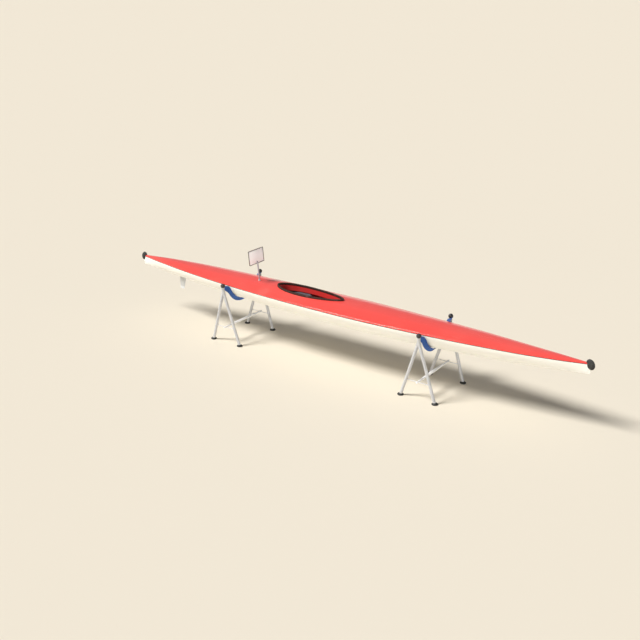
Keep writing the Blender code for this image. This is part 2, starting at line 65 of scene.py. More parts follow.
class Slot(Enum):
    """The record's material slots."""

    WHITE_GELCOAT = "white_gelcoat"
    RED_GELCOAT = "red_gelcoat"
    BLACK_PLASTIC = "black_plastic"
    BLACK_RUBBER = "black_rubber"
    GREY_PLASTIC = "grey_plastic"
    ALUMINIUM = "aluminium"
    GREY_COMPOSITE = "grey_composite"
    DARK_METAL = "dark_metal"
    PALE_PLASTIC = "pale_plastic"
    BLUE_WEBBING = "blue_webbing"


class End(Enum):
    """The two ends of the boat, as the sign of X."""

    STERN = -1
    BOW = 1


class Side(Enum):
    """The two sides of the boat, as the sign of Y."""

    STARBOARD = -1
    PORT = 1


# Node trees


class Graph:
    """Builds the nodes of one tree."""

    def __init__(self, tree: bpy.types.NodeTree) -> None:
        """Keeps the tree that the nodes go in.

        Args:
            tree: an empty node tree.
        """
        self.tree = tree

    def node(self, kind: str, settings: dict[str, object] | None = None, **sockets: object) -> bpy.types.Node:
        """Adds a node, sets what it does, and then fills its sockets.

        Args:
            kind: the node's Blender type.
            settings: attributes of the node; stops is a colour ramp's list of (place, grey or colour).
            **sockets: values or links by socket name with _ for a space, or by place as i0, i1 and on.

        Returns:
            The new node.
        """
        node = self.tree.nodes.new(kind)
        for name, value in (settings or {}).items():
            if name == "stops":
                self._set_stops(node, value)
            else:
                setattr(node, name, value)
        for name, value in sockets.items():
            place = int(name[1:]) if name[0] == "i" and name[1:].isdigit() else name.replace("_", " ")
            self.fill(node.inputs[place], value)
        return node

    def fill(self, socket: bpy.types.NodeSocket, value: object) -> None:
        """Links a socket to another node's, or sets its value.

        Args:
            socket: an input socket.
            value: a Term, an output socket or a plain value.
        """
        if isinstance(value, Term):
            value = value.socket
        if isinstance(value, bpy.types.NodeSocket):
            self.tree.links.new(value, socket)
        elif socket.type == "RGBA" and isinstance(value, tuple):
            socket.default_value = (*value[:3], 1.0)
        else:
            socket.default_value = value

    @staticmethod
    def _set_stops(node: bpy.types.Node, stops: Sequence[tuple[float, float | Colour]]) -> None:
        """Gives a colour ramp its stops.

        Args:
            node: a colour ramp.
            stops: (place, grey or colour) from left to right.
        """
        elements = node.color_ramp.elements
        while len(elements) < len(stops):
            elements.new(0.5)
        for element, (place, colour) in zip(elements, stops):
            element.position = place
            element.color = (colour,) * 3 + (1.0,) if isinstance(colour, float) else (*colour, 1.0)


class Term:
    """A number that varies over a surface, for use in Python sums."""

    def __init__(self, graph: Graph, socket: bpy.types.NodeSocket) -> None:
        """Keeps an output socket and the tree that it is in.

        Args:
            graph: the tree's builder.
            socket: the output that gives the number.
        """
        self.graph = graph
        self.socket = socket

    def _maths(self, operation: str, first: object, second: object, clamp: bool = False) -> "Term":
        """Adds one Math node.

        Args:
            operation: the Math node's operation.
            first: its first value.
            second: its second value.
            clamp: whether the result is kept from 0 to 1.

        Returns:
            The node's result.
        """
        settings = {"operation": operation, "use_clamp": clamp}
        node = self.graph.node("ShaderNodeMath", settings, i0=first, i1=second)
        return Term(self.graph, node.outputs[0])

    def __add__(self, other: object) -> "Term":
        """self + other."""
        return self._maths("ADD", self, other)

    __radd__ = __add__

    def __mul__(self, other: object) -> "Term":
        """self * other."""
        return self._maths("MULTIPLY", self, other)

    __rmul__ = __mul__

    def __sub__(self, other: object) -> "Term":
        """self - other."""
        return self._maths("SUBTRACT", self, other)

    def __rsub__(self, other: object) -> "Term":
        """other - self."""
        return self._maths("SUBTRACT", other, self)

    def __truediv__(self, other: object) -> "Term":
        """self / other."""
        return self._maths("DIVIDE", self, other)

    def __gt__(self, other: object) -> "Term":
        """1 where self is over other, and 0 elsewhere."""
        return self._maths("GREATER_THAN", self, other)

    def __lt__(self, other: object) -> "Term":
        """1 where self is under other, and 0 elsewhere."""
        return self._maths("LESS_THAN", self, other)

    def wave(self) -> "Term":
        """The sine of self, moved to lie from 0 to 1."""
        return self._maths("SINE", self, 0.0) * 0.5 + 0.5

    def size(self) -> "Term":
        """The size of self without its sign."""
        return self._maths("ABSOLUTE", self, 0.0)

    def clamped(self) -> "Term":
        """self kept from 0 to 1."""
        return self._maths("ADD", self, 0.0, clamp=True)

    def between(self, low: float, high: float) -> "Term":
        """Rises from 0 to 1, smoothly, as self goes from low to high.

        Args:
            low: where it starts.
            high: where it ends; below low for a fall.

        Returns:
            The smooth step.
        """
        sockets = {"From_Min": low, "From_Max": high, "To_Min": 0.0, "To_Max": 1.0}
        settings = {"interpolation_type": "SMOOTHSTEP"}
        node = self.graph.node("ShaderNodeMapRange", settings, Value=self, **sockets)
        return Term(self.graph, node.outputs[0])


class Recipe(Graph):
    """The nodes of one finish."""

    def __init__(self, name: str) -> None:
        """Makes a material with only its main shader.

        Args:
            name: the material's name.
        """
        self.material = bpy.data.materials.new(name)
        self.material.use_nodes = True
        super().__init__(self.material.node_tree)
        self.shader = self.tree.nodes["Principled BSDF"]
        self.place = self.node("ShaderNodeTexCoord").outputs["Object"]

    def set(self, **sockets: object) -> None:
        """Fills sockets of the main shader.

        Args:
            **sockets: values or links by socket name with _ for a space.
        """
        for name, value in sockets.items():
            self.fill(self.shader.inputs[name.replace("_", " ")], value)

    def stretched(self, scale: Point, place: object = None, turn: Point = (0.0, 0.0, 0.0)) -> bpy.types.NodeSocket:
        """Coordinates that run at their own rate along each axis.

        Args:
            scale: the rate along X, Y and Z.
            place: the coordinates to start from, or None for the piece's own.
            turn: a turn about each axis in radians.

        Returns:
            The new coordinates.
        """
        vector = self.place if place is None else place
        return self.node("ShaderNodeMapping", None, Vector=vector, Rotation=turn, Scale=scale).outputs[0]

    def noise(self, scale: float, detail: float = 3.0, place: object = None, roughness: float = 0.5) -> Term:
        """Cloudy variation from 0 to 1.

        Args:
            scale: clouds in each metre.
            detail: how many finer layers it has.
            place: the coordinates, or None for the piece's own.
            roughness: how strong the finer layers are.

        Returns:
            The variation.
        """
        vector = self.place if place is None else place
        node = self.node("ShaderNodeTexNoise", None, Vector=vector, Scale=scale, Detail=detail, Roughness=roughness)
        return Term(self, node.outputs[0])

    def scratches(self, scale: Point, thinness: float) -> Term:
        """Thin streaks, 1 in the streak and 0 elsewhere.

        Args:
            scale: streaks in each metre along X, Y and Z.
            thinness: from 0 to 0.5; a larger number leaves fewer and thinner streaks.

        Returns:
            The streaks.
        """
        streaks = self.noise(1.0, 2.0, self.stretched(scale))
        return streaks.between(0.5 + thinness, 0.56 + thinness)

    def blended(self, share: Term, first: object, second: object) -> bpy.types.NodeSocket:
        """Mixes two colours.

        Args:
            share: how much of the second colour shows.
            first: a colour or a link.
            second: a colour or a link.

        Returns:
            The mixed colour.
        """
        settings = {"data_type": "RGBA", "clamp_factor": True}
        node = self.node("ShaderNodeMix", settings, i0=share)
        self.fill(node.inputs[6], first)
        self.fill(node.inputs[7], second)
        return node.outputs[2]

    def relief(self, height: Term, depth: float, strength: float = 1.0, over: object = None) -> bpy.types.NodeSocket:
        """A bump from a height.

        Args:
            height: from 0 to 1.
            depth: how deep the relief is, in metres.
            strength: how much of it shows.
            over: the normal it is added to, or None.

        Returns:
            The new normal.
        """
        node = self.node("ShaderNodeBump", None, Strength=strength, Distance=depth, Height=height)
        if over is not None:
            self.fill(node.inputs["Normal"], over)
        return node.outputs[0]


# Finishes


@dataclass(frozen=True)
class Gelcoat:
    """Polished gelcoat: a glossy skin with slight ripples, haze, rubbed patches and fine scratches."""

    name: str
    colour: Colour
    faded: Colour
    fade: float
    roughness: float
    scratch_share: float
    gloss: float
    veil: float = 0.0

    def material(self) -> bpy.types.Material:
        """Builds the finish."""
        recipe = Recipe(self.name)
        clouds = recipe.noise(2.3, 4.0)
        haze = recipe.noise(9.0, 5.0, roughness=0.65)
        along = recipe.scratches((3.0, 210.0, 210.0), 0.17)
        slant = recipe.scratches((60.0, 330.0, 25.0), 0.2)
        marks = (along + slant).clamped()
        tone = recipe.blended(clouds.between(0.35, 0.75) * self.fade, self.colour, self.faded)
        tone = recipe.blended(marks * self.scratch_share, tone, self.faded)
        ripple = recipe.noise(38.0, 2.0, recipe.stretched((0.4, 1.0, 1.0)))
        peel = recipe.noise(420.0, 2.0)
        normal = recipe.relief(ripple, 0.0006, 0.35)
        normal = recipe.relief(peel, 0.00006, 0.5, normal)
        recipe.set(
            Base_Color=tone,
            Roughness=self.roughness + haze.between(0.4, 0.8) * 0.10 + marks * 0.25,
            Normal=normal,
            Specular_IOR_Level=self.gloss,
            Coat_Roughness=0.06,
            Coat_Weight=(1 - haze.between(0.45, 0.8) * 0.6) * self.gloss * 0.3,
            Sheen_Weight=self.veil,
            Sheen_Roughness=0.4,
            Sheen_Tint=(1.0, 0.93, 0.88),
        )
        return recipe.material


@dataclass(frozen=True)
class Moulding:
    """Moulded plastic or rubber: a fine grain, paler rubbed patches and a little dust."""

    name: str
    colour: Colour
    rubbed_and_shaded: Colour
    roughness: float
    grain: float
    grain_depth: float
    dust: float = 0.25
    gloss: float = 0.5

    def material(self) -> bpy.types.Material:
        """Builds the finish."""
        recipe = Recipe(self.name)
        grain = recipe.noise(self.grain, 3.0)
        patches = recipe.noise(17.0, 4.0, roughness=0.6).between(0.5, 0.75)
        dust = recipe.noise(140.0, 3.0).between(0.52, 0.7) * patches
        tone = recipe.blended(patches * 0.55, self.colour, self.rubbed_and_shaded)
        tone = recipe.blended(dust * self.dust, tone, (0.42, 0.39, 0.34))
        recipe.set(
            Base_Color=tone,
            Roughness=self.roughness + patches * 0.12 - grain * 0.06,
            Normal=recipe.relief(grain, self.grain_depth, 0.8),
            Specular_IOR_Level=self.gloss,
        )
        return recipe.material


@dataclass(frozen=True)
class SatinAluminium:
    """Drawn and anodised aluminium: fine lines along the piece, dull patches and a few bright rubs."""

    name: str
    colour: Colour
    dull: Colour
    lines: Point
    metallic: float = 0.85

    def material(self) -> bpy.types.Material:
        """Builds the finish."""
        recipe = Recipe(self.name)
        drawn = recipe.noise(1.0, 3.0, recipe.stretched(self.lines))
        patches = recipe.noise(11.0, 5.0, roughness=0.62).between(0.42, 0.72)
        nicks = recipe.noise(95.0, 2.0).between(0.66, 0.72)
        tone = recipe.blended(patches * 0.7, self.colour, self.dull)
        tone = recipe.blended(nicks * 0.5, tone, (0.30, 0.29, 0.28))
        recipe.set(
            Base_Color=tone,
            Metallic=self.metallic - patches * 0.35,
            Roughness=0.33 + patches * 0.16 + drawn * 0.1,
            Normal=recipe.relief(drawn, 0.00008, 0.5),
        )
        return recipe.material


@dataclass(frozen=True)
class Laminate:
    """Sanded composite: faint woven cells under a thin clear coat."""

    name: str
    colour: Colour
    shade: Colour
    cell: float
    paler_below: float = -1.0

    def material(self) -> bpy.types.Material:
        """Builds the finish."""
        recipe = Recipe(self.name)
        axes = recipe.node("ShaderNodeSeparateXYZ", None, Vector=recipe.place).outputs
        turns = 2 * pi / self.cell
        weave = (Term(recipe, axes[0]) * turns).wave() * (Term(recipe, axes[2]) * turns).wave()
        clouds = recipe.noise(14.0, 4.0).between(0.4, 0.75)
        tone = recipe.blended((weave * 0.35 + clouds * 0.4).clamped(), self.colour, self.shade)
        # Paler towards the tip: below a set height the tone blends to a pale grey.
        height = Term(recipe, axes[2]) + clouds * 0.008
        paler_tip = height.between(self.paler_below + 0.012, self.paler_below - 0.012)
        tone = recipe.blended(paler_tip * 0.8, tone, (0.74, 0.75, 0.74))
        recipe.set(
            Base_Color=tone,
            Roughness=0.34 + clouds * 0.15,
            Normal=recipe.relief(weave, 0.00005, 0.4),
            Coat_Weight=0.2,
            Coat_Roughness=0.15,
        )
        return recipe.material


@dataclass(frozen=True)
class Webbing:
    """Woven strap: ribs across it in two staggered courses, thicker edges, and painted shade that darkens its upper
    side.
    """

    name: str
    colour: Colour
    light: Colour
    dark: Colour
    # The painted shade colour of the strap's upper side.
    rubbed_and_shaded: Colour
    rib: float
    course: float
    width: float

    def material(self) -> bpy.types.Material:
        """Builds the finish on the strap's own map, whose units are metres."""
        recipe = Recipe(self.name)
        flat = recipe.node("ShaderNodeUVMap", {"uv_map": "strap"}).outputs[0]
        axes = recipe.node("ShaderNodeSeparateXYZ", None, Vector=flat).outputs
        across, along = Term(recipe, axes[0]), Term(recipe, axes[1])
        column = (across * (2 * pi / self.course)).wave()
        first = (along * (2 * pi / self.rib)).wave()
        second = (along * (2 * pi / self.rib) + pi).wave()
        threads = first * column + second * (1 - column)
        bands = (across - self.width / 2).size().between(self.width * 0.36, self.width * 0.44)
        fuzz = recipe.noise(900.0, 2.0)
        sun = recipe.noise(16.0, 4.0).between(0.4, 0.75)
        tone = recipe.blended(threads * 0.75, self.dark, self.colour)
        tone = recipe.blended((sun * 0.35 + fuzz * 0.15).clamped(), tone, self.light)
        tone = recipe.blended(bands * 0.35, tone, self.dark)
        # Painted shade: the upper side is darkened, so that in the sun it looks no brighter than the lower side in
        # shadow.
        carrying = recipe.node("ShaderNodeAttribute", {"attribute_name": "carrying"}).outputs["Fac"]
        tone = recipe.blended(Term(recipe, carrying) * 0.85, tone, self.rubbed_and_shaded)
        recipe.set(
            Base_Color=tone,
            Roughness=0.8 + fuzz * 0.12,
            Normal=recipe.relief(threads + fuzz * 0.3, 0.0005, 0.8),
            Specular_IOR_Level=0.2,
            Sheen_Weight=0.05,
            Sheen_Roughness=0.45,
        )
        return recipe.material


@dataclass(frozen=True)
class PaintedStrip:
    """Dark paint on thin metal, worn through in small spots."""

    name: str
    colour: Colour
    bare: Colour

    def material(self) -> bpy.types.Material:
        """Builds the finish."""
        recipe = Recipe(self.name)
        spots = recipe.noise(210.0, 4.0, roughness=0.6).between(0.62, 0.68)
        clouds = recipe.noise(35.0, 3.0)
        recipe.set(
            Base_Color=recipe.blended((spots * 0.8 + clouds * 0.12).clamped(), self.colour, self.bare),
            Roughness=0.38 + clouds * 0.15,
            Metallic=spots * 0.7,
            Normal=recipe.relief(clouds - spots * 0.4, 0.00012, 0.6),
        )
        return recipe.material


@dataclass(frozen=True)
class PaleSheet:
    """A blank pale panel with a fine texture, faint smears and yellowing."""

    name: str
    colour: Colour
    aged: Colour

    def material(self) -> bpy.types.Material:
        """Builds the finish."""
        recipe = Recipe(self.name)
        clouds = recipe.noise(12.0, 4.0).between(0.4, 0.75)
        grain = recipe.noise(650.0, 2.0)
        smears = recipe.scratches((8.0, 90.0, 14.0), 0.14)
        recipe.set(
            Base_Color=recipe.blended((clouds * 0.45 + smears * 0.2).clamped(), self.colour, self.aged),
            Roughness=0.42 + clouds * 0.12 + smears * 0.1,
            Normal=recipe.relief(grain, 0.00004, 0.6),
            Subsurface_Weight=1.0,
            Subsurface_Radius=(1.0, 0.95, 0.9),
            Subsurface_Scale=0.02,
        )
        return recipe.material


@dataclass(frozen=True)
class Thread:
    """Twisted sewing thread."""

    name: str
    colour: Colour
    light: Colour

    def material(self) -> bpy.types.Material:
        """Builds the finish."""
        recipe = Recipe(self.name)
        twist = recipe.noise(1500.0, 2.0)
        recipe.set(
            Base_Color=recipe.blended(twist, self.colour, self.light),
            Roughness=0.7 + twist * 0.15,
            Normal=recipe.relief(twist, 0.0001, 0.6),
        )
        return recipe.material


class Finishes:
    """Every finish, made once and shared by the pieces."""

    def __init__(self) -> None:
        """Builds all the materials."""
        self.white = Gelcoat("white gelcoat", (0.96, 0.945, 0.88), (0.91, 0.885, 0.80), 0.35, 0.5, 0.25, 0.01).material()
        self.red = Gelcoat("red gelcoat", (0.96, 0.078, 0.062), (0.96, 0.12, 0.095), 0.5, 0.12, 0.3, 0.4, 0.2).material()
        self.satin_red = Gelcoat("satin red", (0.92, 0.075, 0.06), (0.92, 0.11, 0.09), 0.5, 0.45, 0.2, 0.12).material()
        self.lining = Moulding(
            "red lining", (0.80, 0.045, 0.042), (0.86, 0.075, 0.065), 0.42, 260.0, 0.00012, 0.08
        ).material()
        self.seam = Moulding(
            "dark seam strip", (0.035, 0.014, 0.012), (0.07, 0.03, 0.026), 0.6, 300.0, 0.0001, 0.15, 0.15
        ).material()
        self.rim = Moulding(
            "black rim", (0.050, 0.026, 0.020), (0.12, 0.075, 0.062), 0.62, 420.0, 0.00008, 0.2, 0.2
        ).material()
        self.knob = Moulding("black knob", (0.028, 0.026, 0.026), (0.06, 0.055, 0.05), 0.42, 380.0, 0.0001).material()
        self.rubber = Moulding("black rubber", (0.022, 0.023, 0.021), (0.055, 0.055, 0.048), 0.66, 520.0, 0.0002).material()
        self.seat = Moulding(
            "grey seat", (0.085, 0.076, 0.088), (0.13, 0.118, 0.135), 0.62, 340.0, 0.00015, 0.25, 0.25
        ).material()
        self.tube = SatinAluminium(
            "satin tube", (0.60, 0.60, 0.61), (0.52, 0.525, 0.53), (900.0, 900.0, 14.0), 0.2
        ).material()
        # A paler copy of the satin tube, for the spreader: painted light, so the bar looks lit though it lies in the
        # boat's shadow.
        self.tube_painted_lit = SatinAluminium(
            "bright satin tube", (0.95, 0.94, 0.93), (0.90, 0.89, 0.88), (900.0, 14.0, 900.0), 0.02
        ).material()
        self.plate_metal = SatinAluminium("satin plate", (0.80, 0.80, 0.79), (0.62, 0.62, 0.61), (30.0, 700.0, 60.0)).material()
        self.steel = SatinAluminium("bright steel", (0.72, 0.71, 0.69), (0.45, 0.44, 0.42), (400.0, 400.0, 400.0), 1.0).material()
        # The last number is the height below which the blade turns paler.
        self.composite = Laminate("grey composite", (0.56, 0.56, 0.54), (0.46, 0.47, 0.46), 0.004, 0.376).material()
        self.stem = Laminate("pale stem", (0.44, 0.43, 0.48), (0.39, 0.38, 0.43), 0.003).material()
        self.socket = Moulding("grey socket", (0.52, 0.46, 0.47), (0.60, 0.54, 0.54), 0.45, 380.0, 0.0001).material()
        self.border = PaintedStrip("dark border", (0.115, 0.10, 0.082), (0.42, 0.39, 0.34)).material()
        self.panel = PaleSheet("pale panel", (0.87, 0.99, 0.96), (0.83, 0.93, 0.89)).material()
        # The fourth colour is the painted shade on the strap's upper side.
        self.webbing = Webbing(
            "blue webbing", (0.048, 0.15, 0.50), (0.075, 0.20, 0.58), (0.026, 0.08, 0.30), (0.065, 0.11, 0.26), 0.0024,
            0.003, 0.064,
        ).material()
        self.thread = Thread("blue thread", (0.02, 0.06, 0.26), (0.07, 0.13, 0.40)).material()


# Mesh making


def smooth_curve(at: float, xs: np.ndarray, ys: np.ndarray) -> float:
    """Reads a curve through points whose slope is continuous.

    Args:
        at: where to read it.
        xs: the points' places, in rising order.
        ys: the points' values.

    Returns:
        The value at that place.
    """
    slopes = np.gradient(ys, xs)
    i = int(np.clip(np.searchsorted(xs, at) - 1, 0, len(xs) - 2))
    step = xs[i + 1] - xs[i]
    t = (at - xs[i]) / step
    start = (1 + 2 * t) * (1 - t) ** 2 * ys[i] + t * (1 - t) ** 2 * step * slopes[i]
    end = t * t * (3 - 2 * t) * ys[i + 1] + t * t * (t - 1) * step * slopes[i + 1]
    return float(start + end)


def spaced_to_ends(start: float, end: float, count: int) -> list[float]:
    """Places from start to end that lie closer together towards both.

    Args:
        start: the first place.
        end: the last place.
        count: how many there are.

    Returns:
        The places.
    """
    return [start + (end - start) * (1 - cos(pi * i / (count - 1))) / 2 for i in range(count)]


def loft(rings: Sequence[Ring], circuit: bool = False, capped: bool = True) -> bmesh.types.BMesh:
    """Joins rings of equal length into a skin.

    Args:
        rings: the rings in order.
        circuit: whether the last ring meets the first.
        capped: whether the two end rings are filled, when it isn't a circuit.

    Returns:
        The mesh.
    """
    bm = bmesh.new()
    rows = [[bm.verts.new(point) for point in ring] for ring in rings]
    following = rows[1:] + (rows[:1] if circuit else [])
    for row, after in zip(rows, following):
        for k in range(len(row)):
            n = (k + 1) % len(row)
            bm.faces.new((row[k], row[n], after[n], after[k]))
    if capped and not circuit:
        bm.faces.new(rows[0])
        bm.faces.new(rows[-1])
    return bm


def lathe(profile: Sequence[tuple[float, float]], start: Vector, along: Vector, sides: int) -> bmesh.types.BMesh:
    """Turns a profile round an axis; a radius of zero closes a pole.

    Args:
        profile: (radius, distance along the axis) from one pole to the other.
        start: the point at distance zero.
        along: the axis, of any length.
        sides: how many faces go round.

    Returns:
        The mesh.
    """
    turn = along.to_track_quat("Z", "Y")
    bm = bmesh.new()
    rows = []
    for radius, travel in profile:
        count = sides if radius > 0 else 1
        row = []
        for k in range(count):
            angle = 2 * pi * k / sides
            spoke = Vector((radius * cos(angle), radius * sin(angle), travel))
            row.append(bm.verts.new(start + turn @ spoke))
        rows.append(row)
    for row, after in zip(rows, rows[1:]):
        for k in range(sides):
            n = (k + 1) % sides
            corners = [row[k % len(row)], row[n % len(row)], after[n % len(after)], after[k % len(after)]]
            bm.faces.new(list(dict.fromkeys(corners)))
    return bm


def rounded_bar(start: Vector, end: Vector, radius: float, edge: float, sides: int = 32) -> bmesh.types.BMesh:
    """A round bar with rounded rims.

    Args:
        start: the middle of one end.
        end: the middle of the other.
        radius: the bar's radius.
        edge: how much of each rim is rounded off.
        sides: how many faces go round.

    Returns:
        The mesh.
    """
    length = (end - start).length
    turn = [radians(a) for a in (0, 30, 60, 90)]
    low = [(radius - edge + edge * sin(a), edge - edge * cos(a)) for a in turn]
    high = [(r, length - z) for r, z in reversed(low)]
    return lathe([(0.0, 0.0), *low, *high, (0.0, length)], start, end - start, sides)


def bent_tube(points: Sequence[Vector], radius: float, sides: int) -> bmesh.types.BMesh:
    """A round bar that follows a line.

    Args:
        points: the points of its axis.
        radius: the bar's radius.
        sides: how many faces go round.

    Returns:
        The mesh.
    """
    rings = []
    for i, point in enumerate(points):
        along = (points[min(i + 1, len(points) - 1)] - points[max(i - 1, 0)]).normalized()
        across = along.cross(Vector((0, 1, 0))).normalized()
        other = along.cross(across)
        turns = [2 * pi * k / sides for k in range(sides)]
        rings.append([tuple(point + (across * cos(a) + other * sin(a)) * radius) for a in turns])
    return loft(rings)


def moved(bm: bmesh.types.BMesh, matrix: Matrix) -> bmesh.types.BMesh:
    """Moves a mesh.

    Args:
        bm: the mesh.
        matrix: how it moves.

    Returns:
        The same mesh.
    """
    bmesh.ops.transform(bm, matrix=matrix, verts=bm.verts)
    return bm


def joined(parts: Iterable[bmesh.types.BMesh]) -> bmesh.types.BMesh:
    """Puts several meshes in one.

    Args:
        parts: the meshes, which are used up.

    Returns:
        The one mesh.
    """
    whole = bmesh.new()
    for part in parts:
        mesh = bpy.data.meshes.new("part")
        part.to_mesh(mesh)
        part.free()
        whole.from_mesh(mesh)
        bpy.data.meshes.remove(mesh)
    return whole


def object_from(name: str, bm: bmesh.types.BMesh, material: bpy.types.Material, angle: float = 40.0) -> bpy.types.Object:
    """Makes a mesh an object in the scene.

    Args:
        name: the object's name.
        bm: its mesh, which is used up.
        material: its finish.
        angle: the edge angle, in degrees, up to which it is shaded smooth.

    Returns:
        The object.
    """
    bmesh.ops.recalc_face_normals(bm, faces=bm.faces)
    mesh = bpy.data.meshes.new(name)
    bm.to_mesh(mesh)
    bm.free()
    mesh.materials.append(material)
    mesh.shade_smooth()
    mesh.set_sharp_from_angle(angle=radians(angle))
    obj = bpy.data.objects.new(name, mesh)
    bpy.context.scene.collection.objects.link(obj)
    return obj


def settled(obj: bpy.types.Object, angle: float = 40.0) -> bpy.types.Object:
    """Turns an object's modifiers into its plain mesh.

    Args:
        obj: the object.
        angle: the edge angle, in degrees, up to which it is shaded smooth.

    Returns:
        The same object.
    """
    graph = bpy.context.evaluated_depsgraph_get()
    mesh = bpy.data.meshes.new_from_object(obj.evaluated_get(graph), depsgraph=graph)
    mesh.name = obj.name
    obj.modifiers.clear()
    obj.data = mesh
    mesh.shade_smooth()
    mesh.set_sharp_from_angle(angle=radians(angle))
    return obj


def cut(obj: bpy.types.Object, tools: Sequence[bmesh.types.BMesh], angle: float = 40.0) -> bpy.types.Object:
    """Cuts shapes out of an object.

    Args:
        obj: the object.
        tools: the closed shapes, which are used up.
        angle: the edge angle, in degrees, up to which it is shaded smooth.

    Returns:
        The same object.
    """
    helpers = []
    for shape in tools:
        helper = object_from("cutter", shape, obj.data.materials[0])
        modifier = obj.modifiers.new("cut", "BOOLEAN")
        modifier.operation = "DIFFERENCE"
        modifier.solver = "EXACT"
        modifier.object = helper
        helpers.append(helper)
    settled(obj, angle)
    for helper in helpers:
        bpy.data.objects.remove(helper)
    return obj


def place_piece(obj: bpy.types.Object, body: Body = Body.BOAT, stands_for: Sequence[str] = ()) -> None:
    """Gives a finished piece its body and the nodes it stands for.

    Args:
        obj: the piece.
        body: the body it moves with.
        stands_for: the CAD nodes that it replaces.
    """
    if stands_for:
        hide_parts(*stands_for)
    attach(obj, body.value)
    LOG.info("%s: %d faces on %s", obj.name, len(obj.data.polygons), body.value)


def dress_node(name: str, material: bpy.types.Material) -> None:
    """Gives a CAD node a finish.

    Args:
        name: the node.
        material: its finish.
    """
    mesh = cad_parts[name].data
    mesh.materials.clear()
    mesh.materials.append(material)
    LOG.info("%s: carried over in %s", name, material.name)


# Things that repeat


class Repeats(Graph):
    """A Geometry Nodes tree that sets small shapes on points or along a path."""

    def __init__(self, name: str, sizes: dict[str, float]) -> None:
        """Makes a tree with named sizes.

        Args:
            name: the tree's name.
            sizes: each input's name and size.
        """
        super().__init__(bpy.data.node_groups.new(name, "GeometryNodeTree"))
        face = self.tree.interface
        face.new_socket("Geometry", in_out="INPUT", socket_type="NodeSocketGeometry")
        face.new_socket("Geometry", in_out="OUTPUT", socket_type="NodeSocketGeometry")
        self.sizes = sizes
        for size in sizes:
            face.new_socket(size, in_out="INPUT", socket_type="NodeSocketFloat")
        self.given = self.node("NodeGroupInput").outputs

    def finish(self, instances: bpy.types.NodeSocket, material: bpy.types.Material) -> None:
        """Ends the tree in one plain mesh with its finish.

        Args:
            instances: the repeated shapes.
            material: their finish.
        """
        plain = self.node("GeometryNodeRealizeInstances", None, Geometry=instances).outputs[0]
        dressed = self.node("GeometryNodeSetMaterial", None, Geometry=plain, Material=material).outputs[0]
        self.node("NodeGroupOutput", None, Geometry=dressed)

    def run(self, name: str, bm: bmesh.types.BMesh, material: bpy.types.Material) -> bpy.types.Object:
        """Runs the tree on a mesh of points or edges.

        Args:
            name: the new object's name.
            bm: the points or edges, which are used up.
            material: the finish.

        Returns:
            The object, as a plain mesh.
        """
        obj = object_from(name, bm, material)
        modifier = obj.modifiers.new("repeats", "NODES")
        modifier.node_group = self.tree
        for item in self.tree.interface.items_tree:
            if item.in_out == "INPUT" and item.name in self.sizes:
                modifier[item.identifier] = self.sizes[item.name]
        return settled(obj, 50.0)


@dataclass(frozen=True)
class Stitching:
    """Rows of stitches along paths."""

    length: float = 0.0032
    pitch: float = 0.0042
    thread: float = 0.00045

    def run(self, name: str, paths: Sequence[Sequence[Vector]], material: bpy.types.Material) -> bpy.types.Object:
        """Lays the stitches.

        Args:
            name: the new object's name.
            paths: the points of each row.
            material: the thread's finish.

        Returns:
            The stitches as one object.
        """
        sizes = {"Length": self.length, "Pitch": self.pitch, "Thread": self.thread}
        tree = Repeats(f"{name} tree", sizes)
        given = tree.given
        rows = tree.node("GeometryNodeMeshToCurve", None, Mesh=given["Geometry"]).outputs[0]
        spots = tree.node("GeometryNodeCurveToPoints", {"mode": "LENGTH"}, Curve=rows, Length=given["Pitch"])
        sized = {"Radius": given["Thread"], "Depth": given["Length"]}
        stitch = tree.node("GeometryNodeMeshCone", None, Vertices=6, Radius_Top=given["Thread"],
                           Radius_Bottom=given["Thread"], Depth=sized["Depth"]).outputs["Mesh"]
        round_ball = tree.node("GeometryNodeMeshIcoSphere", None, Radius=sized["Radius"], Subdivisions=1).outputs[0]
        half = Term(tree, given["Length"]) * 0.5
        parts = [stitch]
        for sign in (0.0, 1.0):
            shift = tree.node("ShaderNodeCombineXYZ", None, Z=Term(tree, given["Length"]) * sign).outputs[0]
            parts.append(tree.node("GeometryNodeTransform", None, Geometry=round_ball, Translation=shift).outputs[0])
        join = tree.node("GeometryNodeJoinGeometry")
        for part in parts:
            tree.tree.links.new(part, join.inputs[0])
        middle = tree.node("ShaderNodeCombineXYZ", None, Z=half * -1.0).outputs[0]
        centred = tree.node("GeometryNodeTransform", None, Geometry=join.outputs[0], Translation=middle).outputs[0]
        turn = tree.node(
            "FunctionNodeAlignRotationToVector", {"axis": "Z"}, Vector=spots.outputs["Tangent"]
        ).outputs[0]
        laid = tree.node("GeometryNodeInstanceOnPoints", None, Points=spots.outputs[0], Instance=centred, Rotation=turn)
        tree.finish(laid.outputs[0], material)
        return tree.run(name, paths_mesh(paths), material)


def paths_mesh(paths: Sequence[Sequence[Vector]]) -> bmesh.types.BMesh:
    """Edges along paths.

    Args:
        paths: the points of each path.

    Returns:
        A mesh of loose edges.
    """
    bm = bmesh.new()
    for path in paths:
        verts = [bm.verts.new(point) for point in path]
        for one, other in zip(verts, verts[1:]):
            bm.edges.new((one, other))
    return bm


